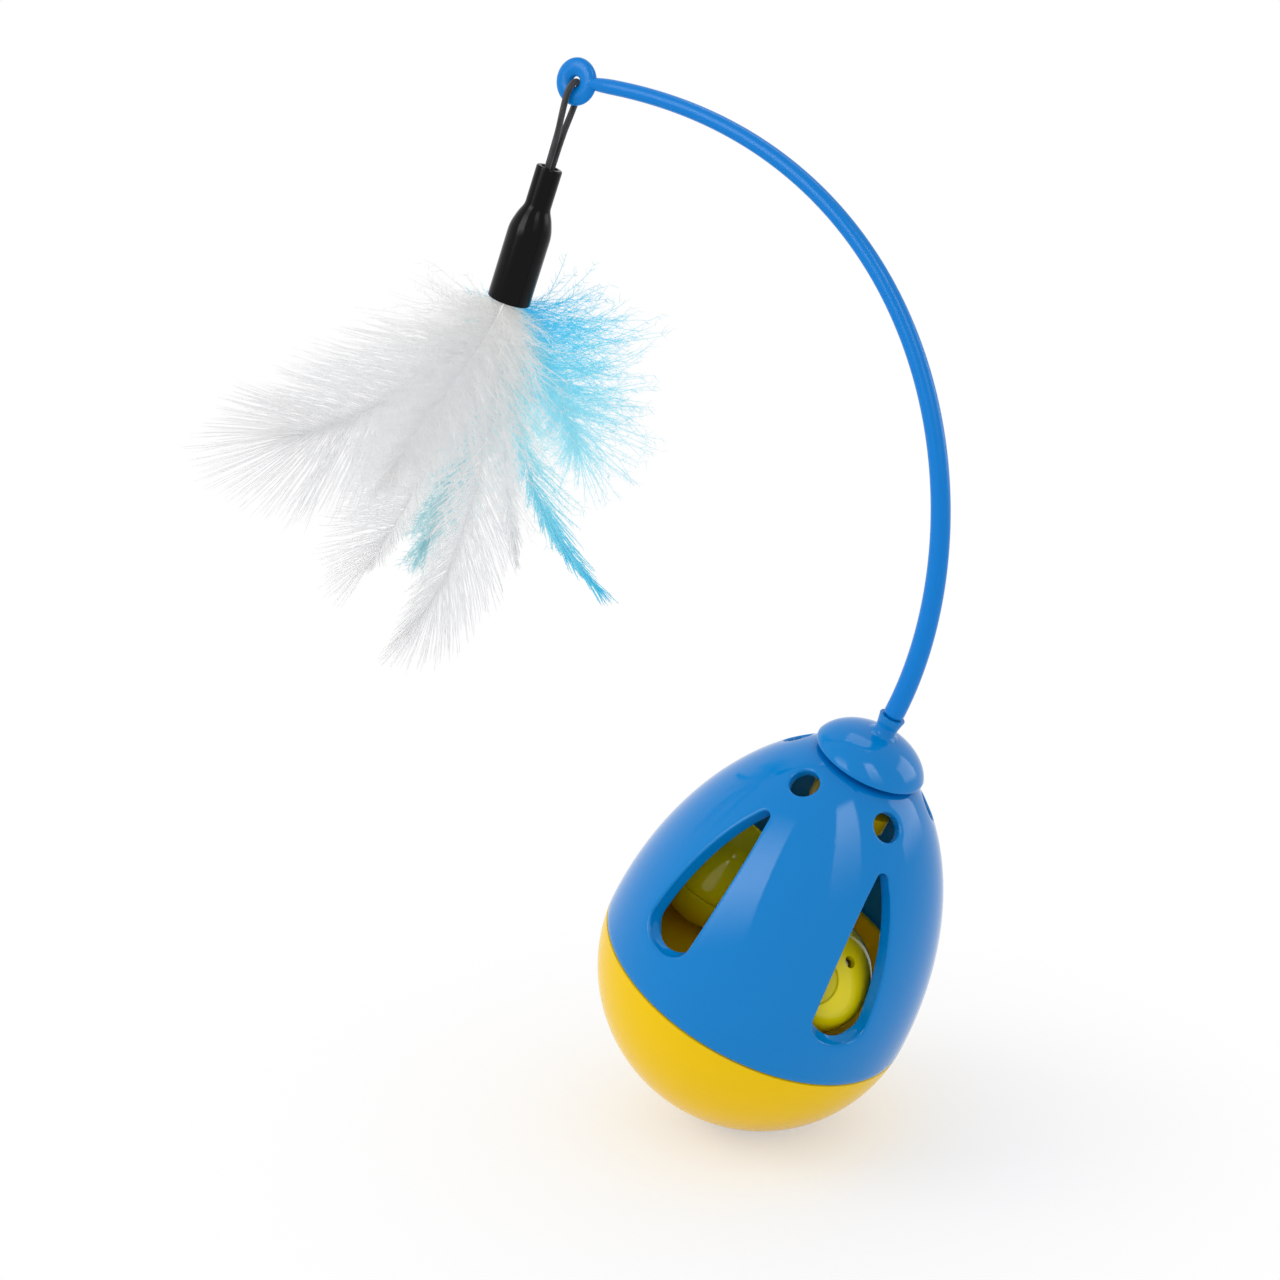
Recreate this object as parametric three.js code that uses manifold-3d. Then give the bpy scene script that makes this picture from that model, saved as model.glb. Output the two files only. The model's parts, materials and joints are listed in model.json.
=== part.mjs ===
// Cat tumbler ball toy, in millimetres, +Z up. A weighted egg leans on its round base. Two rattle
// balls run round inside it, and a bent wand on top carries a pendant of feathers on a cord loop.
// The origin is where the toy stands, and the toy leans towards +X. The wand bends in the XZ plane.
import * as THREE from "three";
import { mergeVertices } from "three/addons/utils/BufferGeometryUtils.js";
import Module from "manifold-3d";

const wasm = await Module();
wasm.setup();
const degrees = THREE.MathUtils.degToRad;
const rightAngle = degrees(90);

// Fits and cutters
const gap = 0.3; // between pieces that touch
const overrun = 1; // how far a cutter runs past what it cuts

// Stance
const leanAngle = degrees(26.5);
const standRadius = 6.5; // the small flat that the toy stands on

// Lower shell
const baseRadius = 37.9;
const seamDrop = 1.6; // the seam lies this far below the middle of the round base
const baseWall = 2.5;
const seamChamfer = 0.35;
const collarHeight = 10.5; // the spigot that stands up inside the upper shell
const collarWall = 1.5;
const ledgeWidth = 1.8;
const ledgeThickness = 1.8;
const ledgeTop = -0.5;
const ledgeFoot = -6;

// Screws of the cover, and their bosses
const screwCount = 3;
const screwInset = 10.9; // from the round base's widest to the screws
const screwStart = degrees(60);
const screwRadius = 1.2;
const screwDepth = 8;
const screwHeadRadius = 2.6;
const screwHeadHeight = 1.6;
const screwSlotWidth = 0.7;
const screwSlotDepth = 0.7;
const screwHeadTopShare = 0.7; // a head's flat top, as a share of its radius
const bossRadius = 3;

// Ballast and its cover
const ballastHeight = 11.6;
const ballastAngle = degrees(22.6); // the weight sits off the egg's axis, so the toy leans
const ballastChamfer = 0.8;
const coverThickness = 2.2;
const coverCrownRadius = 7;
const coverCrownHeight = 3;
const screwRecess = 1.1;

// Upper shell: a superellipse revolved about the egg's axis, as wide as the round base
const eggRisePower = 1.95;
const eggGirthPower = 1.85;
const shellWall = 2;
const deckHeight = 60.4; // the flat top that carries the cap
const deckToClose = 4; // from the deck to where the outline would close
const sleeveWall = 2;
const sleeveHeight = 4.6;

// Teardrop slots
const slotCount = 5;
const slotStart = degrees(-38.4);
const slotLow = 11;
const slotToDeck = 12.3; // from a slot's tip up to the deck
const slotHalfWidth = 6.7;
const slotTipRadius = 1.5;
const slotBellyShare = 0.14; // the widest point, as a share of the slot's length
const slotSideShares = [0.36, 0.78, 0.62]; // handles of a side's curve: rise, rise, width
const slotRim = 0.8; // the step round the outside of a slot
const slotLip = 1; // the wall that stands inwards round a slot

// Round holes above the slots
const holeToDeck = 4.4; // from a hole's middle up to the deck
const holeRadius = 3.3;
const holeRim = 0.7;

// Cap and its socket
const capRadius = 12.9;
const capRimLift = 1.35; // from the deck up to the rim's underside
const capRimThickness = 1;
const capRimChamfer = 0.4;
const capDome = 6.5;
const capSeatWall = 1.1;
const capSeatInset = 1.3; // the seat lies this far inside the deck's edge
const capHollow = 4.2;
const capBossRadius = 6;
const capBossDrop = 10.4; // from the deck down to the boss's foot
const capScrewDepth = 10;
const socketFootRadius = 2.45;
const socketMouthRadius = 3;
const socketHeight = 4.4;
const socketFillet = 0.9;
const socketChamfer = 0.25;
const spigotRadius = 1.5;
const spigotLength = 12;

// Winged retainer under the cap, and its screw
const retainerRadius = 8.5;
const retainerWeb = 1.5;
const wingReach = 12.2;
const wingWidth = 6.5;
const wingHeight = 3.8;
const wingTurn = degrees(-25);
const retainerScrewRadius = 1.3;
const retainerHeadRadius = 2.9;
const retainerHeadHeight = 1.8;

// Wand: a cubic curve in the plane of the lean, from the socket to the eyelet
const wandBaseRadius = 2.33;
const wandTipRadius = 1.66;
const wandReach = 134.2; // eyelet from the egg's axis
const wandRise = 160; // eyelet above the seam, along the egg's axis
const wandBaseHandle = 49;
const wandTipHandle = 90;
const wandTipDroop = degrees(17.7);
const eyeletRadius = 3.2;
const eyeletTube = 2.1;
const eyeletFlatShare = 0.6; // how flat its ring is, across the wand's plane

// Cord loop and ferrule, hung from the eyelet
const hangAngle = degrees(21.8);
const cordRadius = 0.75;
const ferruleDrop = 20.15; // ferrule's top below the middle of the eyelet
const neckRadius = 3.1;
const neckLength = 9.6;
const shoulderLength = 5.4;
const shoulderShare = 0.6; // where the shoulder is halfway between the neck and the body
const ferruleRadius = 5.15;
const ferruleLength = 32.6;
const ferruleWall = 0.8;
const neckBore = 2;
const ferruleEdge = 0.3;
const knotRadius = 2.7;
const knotLength = 4.2;
const knotEndShare = 0.6; // a knot's radius at its ends
const knotBulgeShare = 0.3; // its length from an end to its full radius
const plugLength = 9;

// Feathers: a fan that faces across the wand's plane
const fanTurn = degrees(31.2);
const fanLength = 88;
const fanDepth = 22; // from the middle of the fan to its front or back feather, at the tips
const quillPitch = 0.95; // from one quill to the next in the ferrule's mouth
const quillRadius = 0.45;
const quillDistance = 0.75; // from the mouth to a quill's end
const vaneThickness = 0.45;
const spineStartShare = 0.12; // how far a spine runs on straight down, as a share of the fan's length
const spineDepthShare = 0.6; // how far it has spread at its bend

// Rattle balls
const ballSpare = 10.5; // of the base's radius, what two balls' radii leave free
const ballWall = 1.3;
const ballSideRoom = 2.39; // between a ball's shoulder and the upper shell
const ballShoulder = degrees(30); // how high on the ball that room is measured
const ballDiscShare = 0.423; // the sunk disc at each pole, as a share of the ball's radius
const ballDiscDepth = 0.4;
const ballDiscWall = 1;
const ventRadius = 1.35;
const ventLatitude = degrees(42); // from the pole
const ventSides = [3, 4, 14];
const bellRadius = 3.6;
const bellWall = 0.7;
const bellSlot = 1;
const ballPlaces = { a: degrees(-178), b: degrees(-40) };
const ballPoleShares = { a: [0.12, -0.04, 0.99], b: [0.28, -0.86, 0.42] };

// Facets
const shellSides = 32;
const capSides = 24;
const ballSides = 18;
const smallSides = 12;
const ferruleSides = 18;
const cordSides = 8;
const wandSides = 8;
const wandSteps = 26;
const cordSteps = 26;
const slotSteps = 3;
const wingSteps = 3;
const baseSteps = 13;
const baseInnerSteps = 9;
const weightSteps = 8;
const domeSteps = 6;
const bellSteps = 6;
const ballSteps = 4;
const ballInnerSteps = 5;
const slopeStep = 0.006; // for measuring the slope of the egg's outline

const blue = new THREE.MeshStandardMaterial({ color: 0x007cc8, roughness: 0.18, metalness: 0 });
const yellow = new THREE.MeshStandardMaterial({ color: 0xf0c605, roughness: 0.25, metalness: 0 });
const ballYellow = new THREE.MeshStandardMaterial({ color: 0xc8c80a, roughness: 0.2, metalness: 0 });
const wandBlue = new THREE.MeshStandardMaterial({ color: 0x007cc8, roughness: 0.3, metalness: 0 });
const black = new THREE.MeshStandardMaterial({ color: 0x0d0d0d, roughness: 0.25, metalness: 0 });
const cordBlack = new THREE.MeshStandardMaterial({ color: 0x101010, roughness: 0.7, metalness: 0 });
const steel = new THREE.MeshStandardMaterial({ color: 0xb4b6b8, roughness: 0.35, metalness: 1 });
const iron = new THREE.MeshStandardMaterial({ color: 0x55565a, roughness: 0.6, metalness: 1 });
const glue = new THREE.MeshStandardMaterial({ color: 0xd8d6cc, roughness: 0.5, metalness: 0 });
const white = new THREE.MeshStandardMaterial({ color: 0xe8e8ea, roughness: 0.9, metalness: 0 });
const turquoise = new THREE.MeshStandardMaterial({ color: 0x6cc8dc, roughness: 0.9, metalness: 0 });

// A geometry as a solid, and a solid as a named mesh
function solid(geometry) {
  const bare = geometry.clone();
  bare.deleteAttribute("normal");
  bare.deleteAttribute("uv");
  const merged = mergeVertices(bare);
  const corners = merged.index.array;
  const faces = [];
  for (let i = 0; i < corners.length; i += 3) {
    const [a, b, c] = corners.slice(i, i + 3);
    if (a !== b && b !== c && c !== a) faces.push(a, b, c);
  }
  return new wasm.Manifold(
    new wasm.Mesh({
      numProp: 3,
      vertProperties: merged.getAttribute("position").array,
      triVerts: new Uint32Array(faces),
    }),
  );
}

function piece(name, body, material, parent) {
  const shape = body.getMesh();
  const geometry = new THREE.BufferGeometry();
  geometry.setAttribute("position", new THREE.BufferAttribute(shape.vertProperties, 3));
  geometry.setIndex(new THREE.BufferAttribute(shape.triVerts, 1));
  geometry.computeVertexNormals();
  const mesh = new THREE.Mesh(geometry, material);
  mesh.name = name;
  parent.add(mesh);
  return mesh;
}

// A profile of [radius, height] points, turned about Z
function revolve(points, sides) {
  const profile = points.map(([r, z]) => new THREE.Vector2(r, z));
  return solid(new THREE.LatheGeometry(profile, sides).rotateX(rightAngle));
}

function arc(middle, radius, from, to, steps) {
  const points = [];
  for (let i = 0; i <= steps; i++) {
    const angle = from + ((to - from) * i) / steps;
    points.push([radius * Math.cos(angle), middle + radius * Math.sin(angle)]);
  }
  return points;
}

function cylinder(radius, low, high, sides, x = 0, y = 0) {
  const geometry = new THREE.CylinderGeometry(radius, radius, high - low, sides);
  return solid(geometry.rotateX(rightAngle).translate(x, y, (low + high) / 2));
}

function box(width, depth, height, middle) {
  return solid(new THREE.BoxGeometry(width, depth, height).translate(...middle));
}

// A solid made upright at the origin, moved by a matrix
function placed(body, matrix) {
  return body.transform(matrix.elements);
}

const eggRise = deckHeight + deckToClose;
const slotHigh = deckHeight - slotToDeck;
const holeHeight = deckHeight - holeToDeck;
const capRim = deckHeight + capRimLift;
const capBossFoot = deckHeight - capBossDrop;

// Egg outline: radius at a height above the seam, and a point on a surface below it
function eggOutline(z) {
  return baseRadius * (1 - (z / eggRise) ** eggRisePower) ** (1 / eggGirthPower);
}

function eggPoint(z, depth) {
  const low = Math.max(z - slopeStep, 0);
  const slope = (eggOutline(z + slopeStep) - eggOutline(low)) / (z + slopeStep - low);
  const length = Math.hypot(1, slope);
  return [eggOutline(z) - depth / length, z + (depth * slope) / length];
}

const outlineShares = [0, 0.16, 0.32, 0.48, 0.63, 0.77, 0.88, 0.96, 1];

function eggCurve(depth, low = 0) {
  return outlineShares.map((share) => eggPoint(low + (deckHeight - low) * share, depth));
}

// A closed round solid with the egg's outline, some depth below its surface
function eggBody(depth) {
  const curve = eggCurve(depth);
  const [, top] = curve[curve.length - 1];
  return revolve([[0, -overrun], [curve[0][0], -overrun], ...curve, [0, top]], shellSides);
}

const egg = new THREE.Group();
const standHeight = Math.sqrt(baseRadius ** 2 - standRadius ** 2);
const axis = new THREE.Vector3(Math.sin(leanAngle), 0, Math.cos(leanAngle));
egg.position.set(0, 0, standHeight).addScaledVector(axis, -seamDrop);
egg.rotation.y = leanAngle;
egg.updateMatrixWorld(true);

// Places round the axis of what repeats
function ring(count, start, make) {
  for (let i = 0; i < count; i++) make(start + (2 * Math.PI * i) / count, i + 1);
}

const seamGap = gap / 2;
const boreRadius = screwRadius + gap;
const screwCircle = baseRadius - screwInset;
const screws = [];
ring(screwCount, screwStart, (angle) => {
  screws.push([screwCircle * Math.cos(angle), screwCircle * Math.sin(angle)]);
});
const collarInner = eggPoint(collarHeight, shellWall)[0] - gap - collarWall;
const coverRadius = collarInner - gap;
const coverFoot = ledgeTop + gap;
const coverTop = coverFoot + coverThickness;

function lowerShell() {
  const innerRadius = baseRadius - baseWall;
  const seamAngle = Math.asin(seamDrop / baseRadius);
  const footAngle = Math.asin((seamDrop - ledgeFoot) / innerRadius);
  const seamRadius = eggOutline(0);
  const profile = [
    ...arc(seamDrop, baseRadius, -rightAngle, -seamAngle - seamChamfer / baseRadius, baseSteps),
    [seamRadius - seamChamfer, -seamGap],
    [eggPoint(0, shellWall)[0] - gap, -seamGap],
    [eggPoint(collarHeight, shellWall)[0] - gap, collarHeight],
    [collarInner, collarHeight],
    [collarInner, ledgeTop],
    [collarInner - ledgeWidth, ledgeTop],
    [collarInner - ledgeWidth, ledgeTop - ledgeThickness],
    ...arc(seamDrop, innerRadius, -footAngle, -rightAngle, baseInnerSteps),
  ];
  let body = revolve(profile, shellSides);
  const within = revolve(arc(seamDrop, baseRadius - overrun, -rightAngle, rightAngle, baseSteps), shellSides);
  for (const [x, y] of screws) {
    const boss = cylinder(bossRadius, -baseRadius, ledgeTop, smallSides, x, y);
    body = body.add(boss.intersect(within));
    body = body.subtract(cylinder(boreRadius, ledgeTop - screwDepth - gap, gap, smallSides, x, y));
  }
  const floor = box(baseRadius, baseRadius, baseRadius, [0, 0, -baseRadius / 2]);
  return body.subtract(placed(floor, egg.matrixWorld.clone().invert()));
}

function ballast(frame) {
  const radius = baseRadius - baseWall - gap;
  const top = ballastHeight - radius;
  const rim = Math.asin(-top / radius) + ballastChamfer / radius;
  let body = revolve(
    [
      ...arc(0, radius, -rightAngle, -rim, weightSteps),
      [Math.sqrt(radius ** 2 - top ** 2) - ballastChamfer, top],
      [0, top],
    ],
    capSides,
  );
  for (const [x, y] of screws) {
    const notch = cylinder(bossRadius + gap, -baseRadius, ledgeTop, smallSides, x, y);
    body = body.subtract(placed(notch, frame.clone().invert()));
  }
  return body;
}

function cover() {
  const crown = coverTop + coverCrownHeight;
  let body = revolve(
    [
      [0, crown - coverThickness],
      [coverCrownRadius - coverThickness, coverFoot],
      [coverRadius, coverFoot],
      [coverRadius, coverTop],
      [coverCrownRadius, coverTop],
      [coverCrownRadius / 2, crown],
      [0, crown],
    ],
    capSides,
  );
  for (const [x, y] of screws) {
    body = body.subtract(cylinder(boreRadius, coverFoot - overrun, crown, smallSides, x, y));
    const recess = screwHeadRadius + gap;
    body = body.subtract(cylinder(recess, coverTop - screwRecess, crown, smallSides, x, y));
  }
  return body;
}

// A pan-head screw with its shank down from a head that starts at z = 0
function screw(shankRadius, depth, headRadius, headHeight) {
  const body = revolve(
    [
      [0, -depth],
      [shankRadius / 2, -depth],
      [shankRadius, shankRadius - depth],
      [shankRadius, 0],
      [headRadius, 0],
      [headRadius, headHeight / 2],
      [headRadius * screwHeadTopShare, headHeight],
      [0, headHeight],
    ],
    smallSides,
  );
  const slot = box(2 * headRadius, screwSlotWidth, 2 * screwSlotDepth, [0, 0, headHeight]);
  return body.subtract(slot);
}

// Teardrop outline of a slot, upright in the XY plane, grown by a margin
function teardrop(margin) {
  const half = slotHalfWidth + margin;
  const low = slotLow - margin;
  const tip = slotTipRadius + margin;
  const belly = slotLow + (slotHigh - slotLow) * slotBellyShare;
  const tipMiddle = slotHigh - slotTipRadius;
  const side = tipMiddle - belly;
  const [lowRise, highRise, width] = slotSideShares;
  const shape = new THREE.Shape();
  shape.moveTo(half, belly);
  shape.bezierCurveTo(
    half,
    belly + side * lowRise,
    tip + (half - tip) * width,
    belly + side * highRise,
    tip,
    tipMiddle,
  );
  shape.absarc(0, tipMiddle, tip, 0, Math.PI, false);
  shape.bezierCurveTo(
    -tip - (half - tip) * width,
    belly + side * highRise,
    -half,
    belly + side * lowRise,
    -half,
    belly,
  );
  shape.absellipse(0, belly, half, belly - low, Math.PI, 2 * Math.PI, false, 0);
  return shape;
}

// A slot's prism, radially outwards at an angle round the axis
function slotPrism(angle, margin) {
  const reach = baseRadius + overrun;
  const geometry = new THREE.ExtrudeGeometry(teardrop(margin), {
    depth: reach,
    bevelEnabled: false,
    curveSegments: slotSteps,
  });
  return solid(geometry.rotateX(rightAngle).rotateZ(angle + rightAngle));
}

// A hole's axis: square to the surface at its height
function holeFrame(angle) {
  const [r, z] = eggPoint(holeHeight, 0);
  const [r2, z2] = eggPoint(holeHeight, shellWall);
  const matrix = new THREE.Matrix4().makeRotationZ(angle);
  matrix.multiply(new THREE.Matrix4().makeTranslation(r, 0, z));
  return matrix.multiply(new THREE.Matrix4().makeRotationY(rightAngle - Math.atan2(z - z2, r - r2)));
}

function upperShell() {
  const inner = eggCurve(shellWall).reverse();
  const [innerTopRadius, deckFoot] = inner[0];
  const sleeveFoot = deckFoot - sleeveHeight;
  const sleeveBore = capBossRadius + gap;
  let body = revolve(
    [
      [eggOutline(0) - seamChamfer, seamGap],
      [eggOutline(0), seamGap + seamChamfer],
      ...eggCurve(0).slice(1),
      [sleeveBore, deckHeight],
      [sleeveBore, sleeveFoot],
      [sleeveBore + sleeveWall, sleeveFoot],
      [sleeveBore + sleeveWall, deckFoot],
      [innerTopRadius, deckFoot],
      ...inner.slice(1, -1),
      [eggPoint(0, shellWall)[0], seamGap],
      [eggOutline(0) - seamChamfer, seamGap],
    ],
    shellSides,
  );
  const skin = eggBody(slotRim);
  const spigot = cylinder(baseRadius, -2 * overrun, collarHeight + gap, shellSides);
  const lining = eggBody(shellWall / 2).subtract(eggBody(shellWall + slotLip)).subtract(spigot);
  ring(slotCount, slotStart, (angle) => {
    body = body.add(slotPrism(angle, slotLip).intersect(lining));
    body = body.subtract(slotPrism(angle, slotRim).subtract(skin));
    body = body.subtract(slotPrism(angle, 0));
    const frame = holeFrame(angle);
    body = body.subtract(placed(cylinder(holeRadius, -baseRadius / 4, overrun, smallSides), frame));
    body = body.subtract(placed(cylinder(holeRadius + holeRim, -holeRim, overrun, smallSides), frame));
  });
  return body;
}

const seatFoot = deckHeight + gap;
const domeFoot = capRim + capRimThickness;
const socketFoot = domeFoot + capDome;
const socketTop = socketFoot + socketHeight;

function cap() {
  const seatRadius = eggOutline(deckHeight) - capSeatInset;
  const screwBore = retainerScrewRadius + gap;
  const bore = spigotRadius + gap;
  const domeEdge = Math.acos((socketFootRadius + socketFillet) / capRadius);
  const dome = arc(0, 1, 0, domeEdge, domeSteps).map(([r, z]) => [capRadius * r, domeFoot + capDome * z]);
  return revolve(
    [
      [0, capBossFoot + capScrewDepth],
      [screwBore, capBossFoot + capScrewDepth],
      [screwBore, capBossFoot],
      [capBossRadius, capBossFoot],
      [capBossRadius, seatFoot + capHollow],
      [seatRadius - capSeatWall, seatFoot + capHollow],
      [seatRadius - capSeatWall, seatFoot],
      [seatRadius, seatFoot],
      [seatRadius, capRim],
      [capRadius - capRimChamfer, capRim],
      [capRadius, capRim + capRimChamfer],
      ...dome,
      [socketFootRadius, socketFoot + socketFillet],
      [(socketFootRadius + socketMouthRadius) / 2, socketFoot + socketHeight / 2],
      [socketMouthRadius, socketTop - socketChamfer],
      [socketMouthRadius - socketChamfer, socketTop],
      [bore, socketTop],
      [bore, socketTop - spigotLength],
      [0, socketTop - spigotLength],
    ],
    capSides,
  );
}

const webTop = capBossFoot - gap;
const webFoot = webTop - retainerWeb;
const retainerTop = eggCurve(shellWall).at(-1)[1] - sleeveHeight - gap;

function retainer() {
  const wings = new THREE.Shape();
  const end = wingReach - wingWidth / 2;
  wings.absarc(end, 0, wingWidth / 2, -rightAngle, rightAngle, false);
  wings.absarc(-end, 0, wingWidth / 2, rightAngle, 3 * rightAngle, false);
  const blade = new THREE.ExtrudeGeometry(wings, {
    depth: wingHeight,
    bevelEnabled: false,
    curveSegments: wingSteps,
  });
  const body = cylinder(retainerRadius, webFoot, retainerTop, smallSides + smallSides / 2)
    .add(solid(blade.rotateZ(wingTurn).translate(0, 0, retainerTop - wingHeight)))
    .subtract(cylinder(capBossRadius + gap, webTop, retainerTop + overrun, smallSides + smallSides / 2));
  return body.subtract(cylinder(retainerScrewRadius + gap, webFoot - overrun, webTop + overrun, smallSides));
}

// The wand's curve in the egg's frame, and the rod along it
const eyelet = new THREE.Vector3(-wandReach, 0, wandRise);

function wandCurve() {
  const along = new THREE.Vector3(-Math.cos(wandTipDroop), 0, -Math.sin(wandTipDroop));
  const tip = eyelet.clone().addScaledVector(along, -eyeletRadius);
  return new THREE.CubicBezierCurve3(
    new THREE.Vector3(0, 0, socketTop + gap),
    new THREE.Vector3(0, 0, socketTop + gap + wandBaseHandle),
    tip.clone().addScaledVector(along, -wandTipHandle),
    tip,
  );
}

function circle(radius) {
  return new THREE.Shape().absarc(0, 0, radius, 0, 2 * Math.PI, false);
}

// A round rod along a curve, thinner towards its end
function taperedRod(curve, startRadius, endRadius, sides, steps) {
  const geometry = new THREE.ExtrudeGeometry(circle(startRadius), {
    steps,
    curveSegments: sides / 2,
    bevelEnabled: false,
    extrudePath: curve,
  });
  const middles = curve.getSpacedPoints(steps);
  const places = geometry.getAttribute("position");
  const place = new THREE.Vector3();
  for (let i = 0; i < places.count; i++) {
    place.fromBufferAttribute(places, i);
    let nearest = 0;
    middles.forEach((middle, at) => {
      if (middle.distanceTo(place) < middles[nearest].distanceTo(place)) nearest = at;
    });
    const share = 1 + ((endRadius / startRadius - 1) * nearest) / steps;
    place.sub(middles[nearest]).multiplyScalar(share).add(middles[nearest]);
    places.setXYZ(i, place.x, place.y, place.z);
  }
  return solid(geometry);
}

function wand() {
  const rod = taperedRod(wandCurve(), wandBaseRadius, wandTipRadius, wandSides, wandSteps);
  const spigotFoot = socketTop - spigotLength + gap;
  const spigot = cylinder(spigotRadius, spigotFoot, socketTop + 2 * gap, wandSides);
  const eye = new THREE.TorusGeometry(eyeletRadius, eyeletTube, wandSides, 2 * wandSides);
  eye.rotateX(rightAngle).scale(1, eyeletFlatShare, 1).translate(...eyelet);
  return rod.add(spigot).add(solid(eye));
}

// Pendant frame: the eyelet's middle, with -Z along the hanging cord
const pendant = new THREE.Group();
pendant.position.copy(eyelet).applyMatrix4(egg.matrixWorld);
pendant.rotation.y = hangAngle;
pendant.updateMatrixWorld(true);

// The cord's points in the pendant frame: up one strand, over the eyelet's lower bar and down
const cordPoints = [
  [0, -0.92, -32.4],
  [0, -0.92, -29],
  [0, -0.92, -24],
  [0, -0.95, -19],
  [0, -1.2, -12],
  [0, -1.75, -8],
  [0, -2.15, -5],
  [0, -2.31, -3.2],
  [0, -1.95, -1.6],
  [0, -1.1, -0.45],
  [0, 0, -0.05],
  [0, 1.1, -0.45],
  [0, 1.95, -1.6],
  [0, 2.31, -3.2],
  [0, 2.15, -5],
  [0, 1.75, -8],
  [0, 1.2, -12],
  [0, 0.95, -19],
  [0, 0.92, -24],
  [0, 0.92, -29],
  [0, 0.92, -32.4],
];

function cordLoop() {
  const curve = new THREE.CatmullRomCurve3(cordPoints.map((point) => new THREE.Vector3(...point)));
  const geometry = new THREE.ExtrudeGeometry(circle(cordRadius), {
    steps: cordSteps,
    curveSegments: cordSides / 2,
    bevelEnabled: false,
    extrudePath: curve,
  });
  return solid(geometry);
}

const ferruleMouth = -ferruleDrop - ferruleLength;
const chamberTop = -ferruleDrop - neckLength - ferruleEdge;
const chamberRadius = ferruleRadius - ferruleWall;

function ferrule() {
  const top = -ferruleDrop;
  const shoulderTop = top - neckLength;
  const shoulderFoot = shoulderTop - shoulderLength;
  return revolve(
    [
      [chamberRadius, ferruleMouth],
      [ferruleRadius - ferruleEdge, ferruleMouth],
      [ferruleRadius, ferruleMouth + ferruleEdge],
      [ferruleRadius, shoulderFoot],
      [(ferruleRadius + neckRadius) / 2, shoulderFoot + shoulderLength * shoulderShare],
      [neckRadius, shoulderTop],
      [neckRadius, top - ferruleEdge],
      [neckRadius - ferruleEdge, top],
      [neckBore, top],
      [neckBore, chamberTop],
      [knotRadius + gap, chamberTop - gap],
      [knotRadius + gap, shoulderFoot + gap],
      [chamberRadius, shoulderFoot - shoulderLength / 2],
      [chamberRadius, ferruleMouth],
    ],
    ferruleSides,
  );
}

const knotTop = cordPoints[0][2] - gap;

function knot() {
  const end = knotRadius * knotEndShare;
  const bulge = knotLength * knotBulgeShare;
  return revolve(
    [
      [0, knotTop - knotLength],
      [end, knotTop - knotLength],
      [knotRadius, knotTop - knotLength + bulge],
      [knotRadius, knotTop - bulge],
      [end, knotTop],
      [0, knotTop],
    ],
    smallSides,
  );
}

function plug() {
  return cylinder(chamberRadius - gap, ferruleMouth, ferruleMouth + plugLength, ferruleSides);
}

// Feathers, front to back: end and bend of the spine across and down, quill's shift in the mouth,
// half width of the vane, all as shares of the fan's length
const featherShares = [
  ["feather_white_1", white, { end: [-0.38, -0.53], bend: [-0.23, -0.32], quill: -0.005, half: 0.13 }],
  ["feather_white_2", white, { end: [-0.83, -0.41], bend: [-0.48, -0.38], quill: -0.005, half: 0.16 }],
  ["feather_white_3", white, { end: [-0.31, -1.03], bend: [-0.16, -0.72], quill: 0, half: 0.12 }],
  ["feather_white_4", white, { end: [-0.41, -0.88], bend: [-0.25, -0.6], quill: 0, half: 0.11 }],
  ["feather_turquoise_1", turquoise, { end: [-0.27, -0.74], bend: [-0.14, -0.46], quill: 0, half: 0.1 }],
  ["feather_white_5", white, { end: [0.01, -0.78], bend: [-0.03, -0.52], quill: 0.003, half: 0.08 }],
  ["feather_turquoise_2", turquoise, { end: [0.24, -0.87], bend: [-0.02, -0.6], quill: 0.015, half: 0.08 }],
  ["feather_turquoise_3", turquoise, { end: [0.19, -0.4], bend: [0.13, -0.19], quill: 0.02, half: 0.13 }],
];
const vaneShares = [0, 0.12, 0.5, 0.85, 1, 0.95, 0.75, 0.4, 0];

// One feather: a thin leaf along its spine, with a diamond section
function feather(shares, layer, down) {
  const middle = (featherShares.length - 1) / 2;
  const quill = new THREE.Vector3(shares.quill * fanLength, (layer - middle) * quillPitch, 0);
  quill.projectOnPlane(down).addScaledVector(down, quillDistance);
  const depth = ((layer - middle) / middle) * fanDepth;
  const end = new THREE.Vector3(shares.end[0] * fanLength, depth, shares.end[1] * fanLength);
  const [bendAcross, bendDown] = shares.bend;
  const bendDepth = depth * spineDepthShare;
  const bend = new THREE.Vector3(bendAcross * fanLength, bendDepth, bendDown * fanLength);
  const start = quill.clone().addScaledVector(down, fanLength * spineStartShare);
  const spine = new THREE.CubicBezierCurve3(quill, start, bend, end);
  const last = vaneShares.length - 1;
  const corners = [];
  for (let i = 0; i <= last; i++) {
    const at = spine.getPoint(i / last);
    const along = spine.getTangent(i / last);
    const side = new THREE.Vector3(along.z, 0, -along.x).normalize();
    const half = Math.max(vaneShares[i] * shares.half * fanLength, quillRadius);
    const thick = i === 0 ? quillRadius / 2 : vaneThickness / 2;
    corners.push(at.clone().addScaledVector(side, half), at.clone());
    corners.push(at.clone().addScaledVector(side, -half), at.clone());
    corners.at(-3).y += thick;
    corners.at(-1).y -= thick;
  }
  const faces = [0, 2, 1, 0, 3, 2];
  for (let i = 0; i < last; i++) {
    for (let k = 0; k < 4; k++) {
      const a = 4 * i + k;
      const b = 4 * i + ((k + 1) % 4);
      faces.push(a, b, a + 4, b, b + 4, a + 4);
    }
  }
  const tip = 4 * last;
  faces.push(tip, tip + 1, tip + 2, tip, tip + 2, tip + 3);
  const geometry = new THREE.BufferGeometry().setFromPoints(corners);
  geometry.setIndex(faces);
  return solid(geometry);
}

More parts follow.
